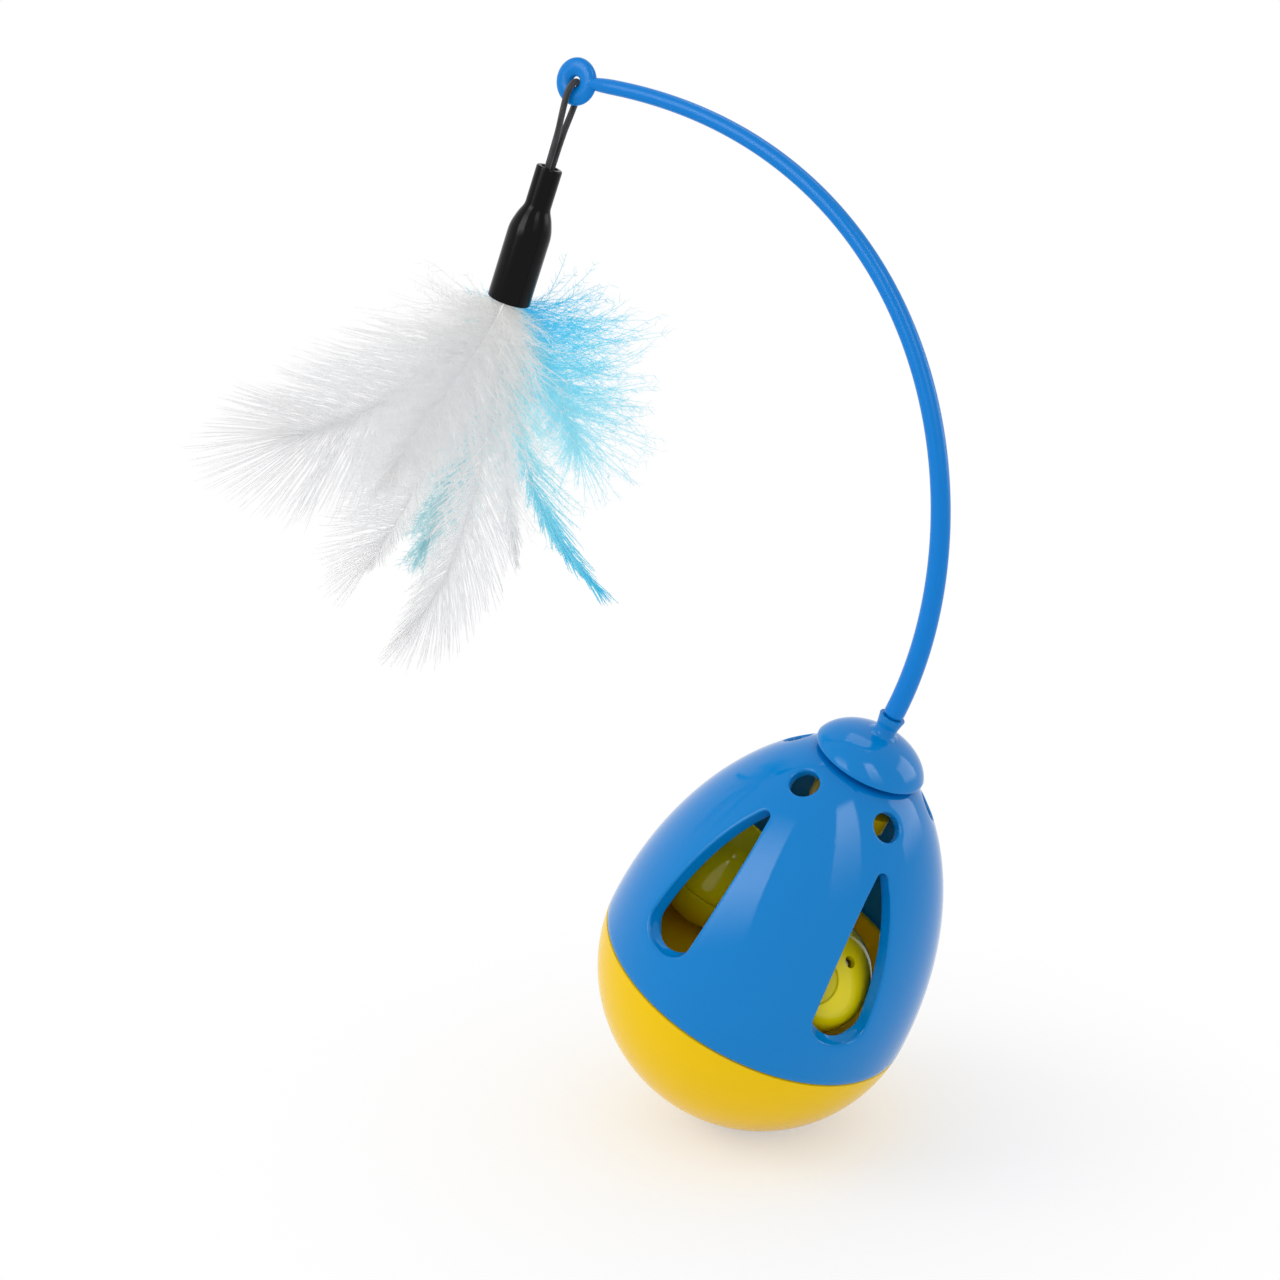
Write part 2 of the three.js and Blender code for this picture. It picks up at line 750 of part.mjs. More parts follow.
const ballRadius = (baseRadius - ballSpare) / 2;
const ballDiscRadius = ballRadius * ballDiscShare;
const ballMiddle = coverTop + gap + ballRadius;
const [shoulderSide] = eggPoint(ballMiddle + ballRadius * Math.sin(ballShoulder), shellWall);
const trackRadius = shoulderSide - ballSideRoom - ballRadius * Math.cos(ballShoulder);

// Half of a rattle ball: a round shell with a sunk disc at its pole and three vents
function ballHalf() {
  const inner = ballRadius - ballWall;
  const discEdge = Math.acos(ballDiscRadius / ballRadius);
  const disc = Math.sqrt(ballRadius ** 2 - ballDiscRadius ** 2) - ballDiscDepth;
  const lining = arc(0, inner, rightAngle, 0, ballInnerSteps).slice(0, -1);
  let body = revolve(
    [
      [inner, seamGap],
      ...arc(0, ballRadius, Math.asin(seamGap / ballRadius), discEdge, ballSteps),
      [ballDiscRadius, disc],
      [0, disc],
      ...lining.map(([r, z]) => [r, Math.min(z, disc - ballDiscWall)]),
      [inner, seamGap],
    ],
    ballSides,
  );
  ventSides.forEach((sides, i) => {
    const turn = new THREE.Matrix4().makeRotationZ((2 * Math.PI * i) / ventSides.length);
    turn.multiply(new THREE.Matrix4().makeRotationY(ventLatitude));
    const vent = cylinder(ventRadius, ballRadius / 2, ballRadius + overrun, sides);
    body = body.subtract(placed(vent, turn));
  });
  return body;
}

function bell() {
  const outer = revolve(arc(0, bellRadius, -rightAngle, rightAngle, bellSteps), smallSides);
  const inner = revolve(arc(0, bellRadius - bellWall, -rightAngle, rightAngle, bellSteps), smallSides);
  const slot = box(2 * bellRadius, bellSlot, bellRadius, [0, 0, -bellRadius / 2]);
  return outer.subtract(inner).subtract(slot);
}

function rattleBall(name, angle, pole) {
  const ball = new THREE.Group();
  ball.position.set(trackRadius * Math.cos(angle), trackRadius * Math.sin(angle), ballMiddle);
  ball.quaternion.setFromUnitVectors(
    new THREE.Vector3(0, 0, 1),
    new THREE.Vector3(...pole).normalize(),
  );
  egg.add(ball);
  const half = ballHalf();
  piece(name + "_half_1", half, ballYellow, ball);
  piece(name + "_half_2", half, ballYellow, ball).rotation.x = 2 * rightAngle;
  const bellDrop = ballRadius - ballWall - gap - bellRadius;
  const chime = piece(name + "_bell", bell(), steel, egg);
  chime.rotation.y = -leanAngle;
  chime.position.copy(ball.position);
  chime.position.x += bellDrop * Math.sin(leanAngle);
  chime.position.z -= bellDrop * Math.cos(leanAngle);
}

const toy = new THREE.Group();
toy.add(egg);
toy.add(pendant);

piece("lower_shell", lowerShell(), yellow, egg);
const weight = new THREE.Group();
weight.position.z = seamDrop;
weight.rotation.y = -ballastAngle;
weight.updateMatrix();
egg.add(weight);
piece("ballast_weight", ballast(weight.matrix), iron, weight);
piece("ballast_cover", cover(), yellow, egg);
const headFoot = coverTop - screwRecess + gap;
screws.forEach(([x, y], i) => {
  const depth = headFoot - ledgeTop + screwDepth;
  const body = screw(screwRadius, depth, screwHeadRadius, screwHeadHeight);
  piece("cover_screw_" + (i + 1), body, steel, egg).position.set(x, y, headFoot);
});

piece("upper_shell", upperShell(), blue, egg);
piece("cap", cap(), blue, egg);
piece("cap_retainer", retainer(), yellow, egg);
const retainerScrew = piece(
  "retainer_screw",
  screw(retainerScrewRadius, retainerWeb + capScrewDepth, retainerHeadRadius, retainerHeadHeight),
  steel,
  egg,
);
retainerScrew.rotation.x = 2 * rightAngle;
retainerScrew.position.z = webFoot - gap;

for (const [name, angle] of Object.entries(ballPlaces)) {
  rattleBall("ball_" + name, angle, ballPoleShares[name]);
}

piece("wand", wand(), wandBlue, egg);
piece("cord_loop", cordLoop(), cordBlack, pendant);
piece("cord_knot", knot(), cordBlack, pendant);
piece("ferrule", ferrule(), black, pendant);
piece("feather_plug", plug(), glue, pendant);

const fan = new THREE.Group();
fan.position.set(0, 0, ferruleMouth).applyMatrix4(pendant.matrixWorld);
fan.rotation.z = fanTurn;
const down = new THREE.Vector3(0, 0, -1)
  .transformDirection(pendant.matrixWorld)
  .applyAxisAngle(new THREE.Vector3(0, 0, 1), -fanTurn);
toy.add(fan);
featherShares.forEach(([name, material, shares], layer) => {
  piece(name, feather(shares, layer, down), material, fan);
});

export default toy;
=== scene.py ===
import json
import math
from collections import namedtuple

import bpy
import numpy as np
from mathutils import Matrix, Vector


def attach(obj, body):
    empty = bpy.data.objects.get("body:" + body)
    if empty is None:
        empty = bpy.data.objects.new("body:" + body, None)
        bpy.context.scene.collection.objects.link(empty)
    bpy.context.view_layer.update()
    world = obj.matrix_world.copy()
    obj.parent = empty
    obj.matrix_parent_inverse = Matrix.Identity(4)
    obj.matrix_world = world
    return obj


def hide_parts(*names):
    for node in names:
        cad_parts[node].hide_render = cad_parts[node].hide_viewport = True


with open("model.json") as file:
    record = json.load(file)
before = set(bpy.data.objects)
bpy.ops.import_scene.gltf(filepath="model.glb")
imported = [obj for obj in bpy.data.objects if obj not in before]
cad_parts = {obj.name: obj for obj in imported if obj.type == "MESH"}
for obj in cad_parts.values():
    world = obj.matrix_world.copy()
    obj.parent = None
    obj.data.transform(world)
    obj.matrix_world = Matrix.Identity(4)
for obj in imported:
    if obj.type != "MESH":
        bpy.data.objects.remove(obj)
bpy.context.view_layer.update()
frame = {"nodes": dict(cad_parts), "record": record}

joints = {joint["name"]: joint for joint in frame["record"]["behaviour"]["joints"]}
turn = 2 * math.pi
right_angle = math.pi / 2

# Egg, from its seam up along its own axis
base_radius = 0.0379
seam_drop = 0.0016
stand_radius = 0.0065
egg_rise = 0.0644
rise_power = 1.95
girth_power = 1.85
shell_wall = 0.002
base_wall = 0.0025
deck_height = 0.0604
gap = 0.0003
seam_gap = gap / 2
seam_edge = 0.00035
collar_height = 0.0105
collar_wall = 0.0015
ledge_width = 0.0018
ledge_thickness = 0.0018
ledge_top = -0.0005
ledge_foot = -0.006
sleeve_wall = 0.002
sleeve_height = 0.0046

# Teardrop slots and round holes
slot_count = 5
slot_start = math.radians(-38.4)
slot_low = 0.011
slot_high = 0.0481
slot_half_width = 0.0067
slot_tip_radius = 0.0015
slot_belly_share = 0.14
slot_belly_share = 0.14
slot_foot_share = 0.62
slot_tip_share = 0.5
slot_side_shares = (0.36, 0.78, 0.62)
slot_edge = 0.0008
slot_lip = 0.001
slot_draft = 0.0008
lip_bevel = 0.00012
collar_clearance = 0.002
hole_height = 0.056
hole_radius = 0.0033
hole_edge = 0.0007
cell_split = 0.0511

# Cover, cap and retainer
cover_thickness = 0.0022
crown_radius = 0.007
crown_height = 0.003
screw_circle = 0.027
screw_start = math.radians(60)
screw_recess = 0.0011
screw_bore = 0.0015
screw_sink = 0.0029
# Screws: radius of the shank, depth, radius and height of the head
cover_screw = (0.0012, 0.0087, 0.0026, 0.0016)
retainer_screw = (0.0013, 0.0115, 0.0029, 0.0018)
cross_recess = (0.0009, 0.0026)
screw_neck_share = 0.8
thread_root_share = 0.78
thread_pitch_share = 0.55
cap_radius = 0.0129
cap_rim = 0.06175
cap_rim_thickness = 0.001
cap_dome = 0.0065
cap_edge_angle = math.radians(16)
boss_radius = 0.006
boss_foot = 0.05
socket_foot_radius = 0.00245
socket_mouth_radius = 0.003
socket_height = 0.0044
socket_depth = 0.012
spigot_radius = 0.0015
cap_seat_inset = 0.0013
cap_seat_height = 0.0042
cap_seat_width = 0.0011
boss_bore_depth = 0.01
web_thickness = 0.0015
web_bore = 0.0016
cup_radius = 0.0085
wing_size = (0.0244, 0.0065, 0.0038)
wing_end_radius = 0.0032
wing_turn = math.radians(-25)

# Wand and pendant
wand_base_radius = 0.00233
wand_tip_radius = 0.00166
wand_reach = 0.1342
wand_rise = 0.16
wand_base_handle = 0.049
wand_tip_handle = 0.09
wand_tip_droop = math.radians(17.7)
wand_end_radius = 0.0012
wand_end_share = 0.975
wand_edge = 0.0002
wand_cuts = 200
eyelet_radius = 0.0032
eyelet_tube = 0.0021
eyelet_flat_share = 0.6
cord_diameter = 0.0015
ferrule_drop = 0.02015
neck_radius = 0.0031
neck_length = 0.0096
shoulder_length = 0.0054
ferrule_radius = 0.00515
ferrule_length = 0.0326
ferrule_wall = 0.0008
neck_bore = 0.002
knot_radius = 0.0027

# Rattle balls
ball_radius = 0.0137
ball_wall = 0.0013
disc_radius = 0.005795
disc_depth = 0.0004
disc_wall = 0.001
vent_radius = 0.00135
vent_latitude = math.radians(42)
bell_radius = 0.0036
bell_wall = 0.0005
bell_slit = 0.001

# Fan of feathers, which faces the camera
fan_turn = math.radians(31.2)
fan_length = 0.088
fan_depth = 0.022
quill_pitch = 0.00095
quill_radius = 0.00024
quill_setback = 0.0011
quill_tip_radius = 0.00006

# Light: the share of plain white in the floor near the toy, and the room's strength as light on the toy
floor_glow = 0.48
room_level = 0.88

# Frames of the egg and of the hanging pendant, from the model's joints
egg_axis = Vector(joints["wand_swivel"]["axis"]).normalized()
stand_height = math.sqrt(base_radius**2 - stand_radius**2)
egg_middle = Vector((0, 0, stand_height)) - egg_axis * seam_drop
egg_place = Matrix.Translation(egg_middle) @ Matrix.Rotation(math.atan2(egg_axis.x, egg_axis.z), 4, "Y")
eyelet = Vector(joints["loop_swing"]["pos_m"])
pendant_axis = Vector(joints["pendant_twist"]["axis"]).normalized()
pendant_place = Matrix.Translation(eyelet)
pendant_place @= Matrix.Rotation(math.atan2(pendant_axis.x, pendant_axis.z), 4, "Y")
ferrule_mouth = pendant_place @ Vector((0, 0, -ferrule_drop - ferrule_length))
fan_place = Matrix.Translation(ferrule_mouth) @ Matrix.Rotation(fan_turn, 4, "Z")

# Camera, at the photograph's angle
view_turn = math.radians(31.23)
view_fall = math.radians(12)
camera_data = bpy.data.cameras.new("camera")
camera_data.lens = 53.44
camera_data.sensor_width = 36
camera = bpy.data.objects.new("camera", camera_data)
camera.location = (0.1943, -0.3743, 0.2048)
camera.rotation_euler = (right_angle - view_fall, 0, view_turn)
bpy.context.collection.objects.link(camera)
bpy.context.scene.camera = camera
bpy.context.scene.view_settings.view_transform = "Standard"


class Value:
    """A socket that Python's operators work on: each one adds a Math node."""

    def __init__(self, finish, socket):
        self.finish = finish
        self.socket = socket

    def math(self, operation, *others):
        return self.finish.math(operation, self, *others)

    def __add__(self, other):
        return self.math("ADD", other)

    def __sub__(self, other):
        return self.math("SUBTRACT", other)

    def __rsub__(self, other):
        return self.finish.math("SUBTRACT", other, self)

    def __mul__(self, other):
        return self.math("MULTIPLY", other)


class Nodes:
    """A node tree, with methods that add nodes to it."""

    def __init__(self, tree):
        self.tree = tree

    def node(self, kind, settings=None, output=0, **inputs):
        made = self.tree.nodes.new(kind)
        for key, value in (settings or {}).items():
            if key == "stops":
                ramp = made.color_ramp
                for place, colour in value[2:]:
                    ramp.elements.new(place)
                for element, (place, colour) in zip(ramp.elements, sorted(value)):
                    element.position = place
                    element.color = colour
            else:
                setattr(made, key, value)
        for key, value in inputs.items():
            socket = made.inputs[int(key[1:])] if key[0] == "i" and key[1:].isdigit() else made.inputs[key]
            self.feed(socket, value)
        return Value(self, made.outputs[output])

    def feed(self, socket, value):
        if isinstance(value, Value):
            self.tree.links.new(value.socket, socket)
        else:
            socket.default_value = value

    def math(self, operation, *values):
        named = {"i" + str(at): value for at, value in enumerate(values)}
        return self.node("ShaderNodeMath", {"operation": operation}, **named)

    def split(self, vector):
        """The first two parts of a vector."""
        parts = self.node("ShaderNodeSeparateXYZ", Vector=vector).socket.node
        return [Value(self, parts.outputs[at]) for at in range(2)]

    def seen_directly(self):
        """1 for what the camera sees itself, in a mirror or through glass, and 0 for light on the toy."""
        kinds = ("Is Camera Ray", "Is Glossy Ray", "Is Transmission Ray")
        seen, glossy, through = (self.node("ShaderNodeLightPath", output=kind) for kind in kinds)
        return seen.math("MAXIMUM", glossy).math("MAXIMUM", through)


class Finish(Nodes):
    """A material: the shader's own values, and the nodes that vary over the surface."""

    def __init__(self, name, **values):
        self.material = bpy.data.materials.new(name)
        self.material.use_nodes = True
        super().__init__(self.material.node_tree)
        self.shader = self.tree.nodes["Principled BSDF"]
        for key, value in values.items():
            self.shader.inputs[key.replace("_", " ").title().replace("Ior", "IOR")].default_value = value

    def place(self):
        return self.node("ShaderNodeTexCoord", output="Object")

    def noise(self, scale, detail=2.0, vector=None):
        vector = vector or self.place()
        return self.node("ShaderNodeTexNoise", Vector=vector, Scale=scale, Detail=detail)

    def mix(self, factor, first, second):
        return self.node("ShaderNodeMix", {"data_type": "RGBA"}, output=2, i0=factor, i6=first, i7=second)

    def drive(self, socket, value):
        self.feed(self.shader.inputs[socket], value)

    def bump(self, height, strength, distance):
        normal = self.node("ShaderNodeBump", Height=height, Strength=strength, Distance=distance)
        self.drive("Normal", normal)


def rgb(red, green, blue):
    """A colour as it shows on screen, from 0 to 255, as linear light."""
    shares = [channel / 255 for channel in (red, green, blue)]
    return (*[s / 12.92 if s <= 0.04045 else ((s + 0.055) / 1.055) ** 2.4 for s in shares], 1)


def moulded_plastic(name, colour, shade, roughness, **values):
    """Smooth glossy moulding: faint flow marks in the colour, and rubbed patches in the gloss."""
    finish = Finish(name, roughness=roughness, **values)
    flow = finish.noise(38.0, 3.0)
    finish.drive("Base Color", finish.mix(flow * 0.5, colour, shade))
    rubbed = finish.noise(110.0, 2.0)
    finish.drive("Roughness", rubbed * 0.06 + (roughness - 0.03))
    finish.bump(finish.noise(120.0, 1.0), 0.03, 0.0001)
    return finish.material


shell_blue = moulded_plastic("shell_blue", rgb(0, 128, 204), rgb(0, 121, 197), 0.07, specular_ior_level=0.2)
wand_blue = moulded_plastic("wand_blue", rgb(0, 126, 212), rgb(0, 119, 203), 0.2, specular_ior_level=0.16)
shell_yellow = moulded_plastic(
    "shell_yellow", rgb(242, 200, 2), rgb(236, 192, 0), 0.22, specular_ior_level=0.12
)
ball_yellow = moulded_plastic(
    "ball_yellow", rgb(252, 236, 10), rgb(242, 220, 4), 0.08, transmission_weight=0.25, ior=1.4
)
ferrule_black = moulded_plastic("ferrule_black", rgb(6, 6, 7), rgb(3, 3, 4), 0.14, specular_ior_level=0.12)


def steel(name, colour):
    """Plated steel: fine brushed lines across, which vary in shade and gloss."""
    finish = Finish(name, metallic=1.0, roughness=0.3)
    stretched = finish.node("ShaderNodeMapping", Vector=finish.place(), Scale=(1, 1, 14))
    brushed = finish.noise(700.0, 4.0, stretched)
    finish.drive("Base Color", finish.mix(brushed, colour, rgb(150, 150, 152)))
    finish.drive("Roughness", brushed * 0.2 + 0.2)
    finish.bump(brushed, 0.1, 0.00005)
    return finish.material


screw_steel = steel("screw_steel", rgb(205, 206, 208))
bell_steel = steel("bell_steel", rgb(222, 220, 212))


def cast_iron():
    finish = Finish("ballast_iron", metallic=0.9)
    grain = finish.noise(420.0, 6.0)
    finish.drive("Base Color", finish.mix(grain, rgb(58, 58, 62), rgb(96, 95, 96)))
    finish.drive("Roughness", grain * 0.3 + 0.45)
    finish.bump(grain, 0.6, 0.0003)
    return finish.material


def set_glue():
    finish = Finish("plug_glue", roughness=0.35)
    cloud = finish.noise(300.0, 3.0)
    finish.drive("Base Color", finish.mix(cloud, rgb(214, 208, 190), rgb(236, 233, 224)))
    finish.bump(cloud, 0.4, 0.0004)
    return finish.material


def woven_cord():
    """Round braid: strands that cross one another along and around the cord."""
    finish = Finish("cord_braid", roughness=0.75, sheen_weight=0.25)
    around, along = finish.split(finish.node("ShaderNodeTexCoord", output="UV"))
    around, along = around * (4 * turn), along * (90 * turn)
    strands = (around + along).math("SINE").math("MAXIMUM", (around - along).math("SINE"))
    finish.drive("Base Color", finish.mix(strands, rgb(14, 14, 15), rgb(44, 44, 46)))
    finish.bump(strands, 0.6, 0.00012)
    return finish.material


def feather_down(name, root, middle, tip, glow):
    """Barbs: the dye changes from the quill to the feather's tip, with paler and darker streaks, and a
    faint glow stands for the light that comes through them."""
    finish = Finish(name, roughness=0.75, emission_strength=glow)
    along = finish.split(finish.node("ShaderNodeTexCoord", output="UV"))[1]
    stops = [(0.0, root), (1.0, tip), (0.45, middle)]
    dye = finish.node("ShaderNodeValToRGB", {"stops": stops}, Fac=along)
    dyed = finish.mix(finish.noise(420.0, 3.0) * 0.35, dye, middle)
    finish.drive("Base Color", dyed)
    finish.drive("Emission Color", dyed)
    finish.bump(finish.noise(2400.0, 2.0), 0.15, 0.00005)
    return finish.material


down_white = feather_down("down_white", rgb(248, 247, 243), rgb(246, 247, 248), rgb(246, 246, 246), 0.13)
down_pale = feather_down("down_pale", rgb(150, 222, 236), rgb(194, 232, 236), rgb(168, 222, 230), 0.15)
down_blade = feather_down("down_blade", rgb(130, 224, 244), rgb(170, 236, 244), rgb(20, 194, 232), 0.24)
down_cyan = feather_down("down_cyan", rgb(0, 198, 250), rgb(110, 224, 246), rgb(190, 240, 248), 0.24)


def place_mesh(name, points, faces, uv=None, edges=()):
    """A mesh object from points and faces or edges, with its UV map given point by point."""
    mesh = bpy.data.meshes.new(name)
    mesh.from_pydata([tuple(point) for point in points], edges, faces)
    if uv is not None:
        corners = np.zeros(len(mesh.loops), dtype=np.int64)
        mesh.loops.foreach_get("vertex_index", corners)
        layer = mesh.uv_layers.new(name="UVMap")
        layer.data.foreach_set("uv", np.asarray(uv, dtype=np.float32)[corners].ravel())
    piece = bpy.data.objects.new(name, mesh)
    bpy.context.collection.objects.link(piece)
    return piece


def only(piece):
    """Selects one piece alone."""
    bpy.ops.object.select_all(action="DESELECT")
    piece.select_set(True)
    bpy.context.view_layer.objects.active = piece


def settle(piece, place=None):
    """Puts a piece's place into its mesh, so that its object sits at the origin."""
    only(piece)
    if place is not None:
        piece.matrix_world = place
    bpy.ops.object.transform_apply(location=True, rotation=True, scale=True)


def finish_piece(piece, place, material, body, node, angle=32):
    """Settles and smooths a piece, gives it its material and its body, and hides the model's node that it
    stands for.
    """
    settle(piece, place)
    bpy.ops.object.shade_smooth_by_angle(angle=math.radians(angle))
    piece.data.materials.clear()
    piece.data.materials.append(material)
    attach(piece, body)
    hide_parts(node)


def rounded(outline, steps=4):
    """A profile of (radius, height) points, where a third value rounds that corner."""
    result = []
    count = len(outline)
    for at, corner in enumerate(outline):
        here = Vector(corner[:2])
        if len(corner) < 3:
            result.append(here)
            continue
        back = (Vector(outline[at - 1][:2]) - here).normalized()
        ahead = (Vector(outline[(at + 1) % count][:2]) - here).normalized()
        for step in range(steps + 1):
            share = step / steps
            start = here + back * corner[2] * (1 - share) ** 2
            result.append(start + ahead * corner[2] * share**2)
    return result


def weld(piece, threshold):
    """Merges a piece's doubles and points its faces out."""
    only(piece)
    bpy.ops.object.mode_set(mode="EDIT")
    bpy.ops.mesh.select_all(action="SELECT")
    bpy.ops.mesh.remove_doubles(threshold=threshold)
    bpy.ops.mesh.normals_make_consistent(inside=False)
    bpy.ops.object.mode_set(mode="OBJECT")


def spun(name, outline, sides):
    """A profile turned round Z with Spin. It is closed by an edge, unless it starts on the axis."""
    points = [(radius, 0, height) for radius, height in (point[:2] for point in outline)]
    edges = [(at, at + 1) for at in range(len(points) - 1)]
    if points[0][0] > 0:
        edges.append((len(points) - 1, 0))
    piece = place_mesh(name, points, [], edges=edges)
    only(piece)
    bpy.ops.object.mode_set(mode="EDIT")
    bpy.ops.mesh.select_all(action="SELECT")
    bpy.ops.mesh.spin(steps=sides, angle=turn, center=(0, 0, 0), axis=(0, 0, 1))
    bpy.ops.object.mode_set(mode="OBJECT")
    weld(piece, 2e-6)
    return piece


def arc(middle, radius, start, end, steps):
    """Points of an arc about the axis, from one latitude to another."""
    angles = [start + (end - start) * at / steps for at in range(steps + 1)]
    return [(radius * math.cos(a), middle + radius * math.sin(a)) for a in angles]


def cut(piece, cutter, operation="DIFFERENCE"):
    """Applies a Boolean of one piece with another, and removes the other."""
    only(piece)
    boolean = piece.modifiers.new("cut", "BOOLEAN")
    boolean.operation = operation
    boolean.solver = "EXACT"
    boolean.object = cutter
    bpy.ops.object.modifier_apply(modifier=boolean.name)
    bpy.data.objects.remove(cutter)


def bore(radius, low, high, x=0.0, y=0.0, sides=32):
    """An upright cylinder to cut or join with."""
    bpy.ops.mesh.primitive_cylinder_add(
        vertices=sides, radius=radius, depth=high - low, location=(x, y, (low + high) / 2)
    )
    settle(bpy.context.object)
    return bpy.context.object


def block(size, middle):
    """A cuboid to cut or join with."""
    bpy.ops.mesh.primitive_cube_add(size=1, location=middle)
    cuboid = bpy.context.object
    cuboid.scale = size
    settle(cuboid)
    return cuboid


def bezier(a, b, c, d, steps):
    """Points of a cubic curve."""
    t = np.linspace(0, 1, steps + 1)[:, None]
    a, b, c, d = (np.asarray(v, float) for v in (a, b, c, d))
    return (1 - t) ** 3 * a + 3 * t * (1 - t) ** 2 * b + 3 * t**2 * (1 - t) * c + t**3 * d


# Egg surface: its outside radius at a height from the seam
def egg_radius(z):
    return base_radius * (1 - (np.abs(z) / egg_rise) ** rise_power) ** (1 / girth_power)


outline_samples = np.linspace(0, 0.985 * egg_rise, 4000)


def egg_surface(depth):
    """Radii and heights of the egg's outline, moved in by a depth."""
    radii = egg_radius(outline_samples)
    slope = np.gradient(radii, outline_samples)
    length = np.hypot(1, slope)
    return radii - depth / length, outline_samples + depth * slope / length


def radius_at(z, depth):
    """Works on arrays: radius of the surface at a height, each at its own depth."""
    z, depth = np.broadcast_arrays(np.asarray(z, float), np.asarray(depth, float))
    result = np.empty(z.shape)
    for value in np.unique(depth):
        radii, heights = egg_surface(value)
        here = depth == value
        result[here] = np.interp(z[here], heights, radii)
    return result


def egg_ring(loop, slot_angle):
    """Points on the egg of a loop of (angle, height, depth), whose angles are from a slot's middle."""
    angle, height, depth = loop.T
    radius = radius_at(height, depth)
    angle = angle + slot_angle
    return np.stack([radius * np.cos(angle), radius * np.sin(angle), height], axis=-1)


def evenly(points, count):
    """An open line of points, spaced evenly again."""
    points = np.asarray(points)
    run = np.concatenate([[0], np.cumsum(np.linalg.norm(np.diff(points, axis=0), axis=1))])
    places = np.linspace(0, run[-1], count + 1)
    return np.stack([np.interp(places, run, points[:, k]) for k in range(2)], axis=-1)


belly = slot_low + (slot_high - slot_low) * slot_belly_share
tip_middle = slot_high - slot_tip_radius


def oval(height, wide, tall, start, end, count, with_end=True):
    """Points of an oval on a slot's middle line, from one angle to another."""
    angles = np.linspace(start, end, count, endpoint=with_end)[:, None]
    return np.hstack([wide * np.cos(angles), height + tall * np.sin(angles)])


def slot_outline():
    """A slot's outline as (across, height): right side up, tip, left side down, foot."""
    low_rise, high_rise, width = slot_side_shares
    side = tip_middle - belly
    rise = bezier(
        (slot_half_width, belly),
        (slot_half_width, belly + side * low_rise),
        (slot_tip_radius + (slot_half_width - slot_tip_radius) * width, belly + side * high_rise),
        (slot_tip_radius, tip_middle),
        slot_side_samples,
    )
    foot_turn = right_angle * slot_foot_share
    tip_turn = right_angle * slot_tip_share
    round_foot = (belly, slot_half_width, belly - slot_low)
    round_tip = (tip_middle, slot_tip_radius, slot_tip_radius)
    lower = oval(*round_foot, -foot_turn, 0, 60, False)
    upper = oval(*round_tip, 0, tip_turn, 20)[1:]
    right = evenly(np.vstack([lower, rise, upper]), side_cuts)
    tip = evenly(oval(*round_tip, tip_turn, math.pi - tip_turn, 60), end_cuts)
    left = (right * [-1, 1])[::-1]
    foot = evenly(oval(*round_foot, foot_turn - math.pi, -foot_turn, 90), end_cuts)
    return np.vstack([right[:-1], tip[:-1], left[:-1], foot[:-1]])


def hole_outline():
    """A round hole's outline, cut into as many lines on each side as its cell's border."""
    share = hole_side_cuts / (hole_side_cuts + end_cuts) * right_angle
    runs = (
        (-share, share, hole_side_cuts),
        (share, math.pi - share, end_cuts),
        (math.pi - share, math.pi + share, hole_side_cuts),
        (math.pi + share, turn - share, end_cuts),
    )
    angles = np.concatenate([np.linspace(*run, endpoint=False) for run in runs])
    return hole_radius * np.stack([np.cos(angles), np.sin(angles)], axis=-1)


def grown(outline, margin):
    """A closed outline moved outwards along its normals."""
    along = np.roll(outline, -1, axis=0) - np.roll(outline, 1, axis=0)
    normal = np.stack([along[:, 1], -along[:, 0]], axis=-1)
    return outline + margin * normal / np.linalg.norm(normal, axis=1)[:, None]


def cell_border(side_count, end_count, low, high):
    """A cell's border as (angle, height), in the same order as the outline in it."""
    half = math.pi / slot_count
    corners = [(half, low), (half, high), (-half, high), (-half, low)]
    counts = (side_count, end_count, side_count, end_count)
    runs = zip(corners, corners[1:] + corners[:1], counts)
    return np.vstack([np.linspace(*run, endpoint=False) for run in runs])


fillet_angles = [right_angle * share for share in (0, 0.2, 0.4, 0.6, 0.8, 1)]
cell_rows = 9
hole_rows = 5
side_cuts = 40
hole_side_cuts = 8
end_cuts = 22
slot_side_samples = 199


def opening_profile(edge, lip):
    """Margins and depths across an opening's rounded edge, down its wall and back along the lip."""
    fillet = [(edge * (1 - math.sin(a)), edge * (1 - math.cos(a))) for a in fillet_angles]
    deep = shell_wall + lip
    draft = slot_draft if lip else 0
    wall = [(-draft * share, edge + (deep - edge) * share) for share in (0.35, 0.7, 0.93)]
    if lip == 0:
        return fillet + wall[:2] + [(0, shell_wall)]
    back = [(0.00008 - draft, deep), (slot_lip - lip_bevel, deep)]
    back += [(slot_lip, deep - lip_bevel), (slot_lip, shell_wall)]
    return fillet + wall + back


def slot_points(outline, margin, depth):
    """A slot's outline at a margin and a depth, laid on the egg. Its lip ends above the collar."""
    across, height = grown(outline, margin).T
    spare = np.clip((height - collar_height - gap) / collar_clearance, 0, 1)
    depths = np.where(depth > shell_wall, shell_wall + (depth - shell_wall) * spare, depth)
    return np.stack([np.arcsin(across / radius_at(height, depths)), height, depths], axis=-1)


def hole_points(outline, margin, depth):
    """A hole's outline at a margin and a depth, square to the egg's surface in the hole's middle."""
    across, up = grown(outline, margin).T
    height = hole_height + up * hole_way.y + depth * hole_way.x
    angle = np.arcsin(np.clip(across / radius_at(height, depth), -1, 1))
    return np.stack([angle, height, np.full_like(height, depth)], axis=-1)


hole_slope = np.gradient(egg_radius(outline_samples), outline_samples)
hole_way = Vector((float(np.interp(hole_height, outline_samples, hole_slope)), 1)).normalized()
deck_foot = float(np.interp(deck_height, outline_samples, egg_surface(shell_wall)[1]))


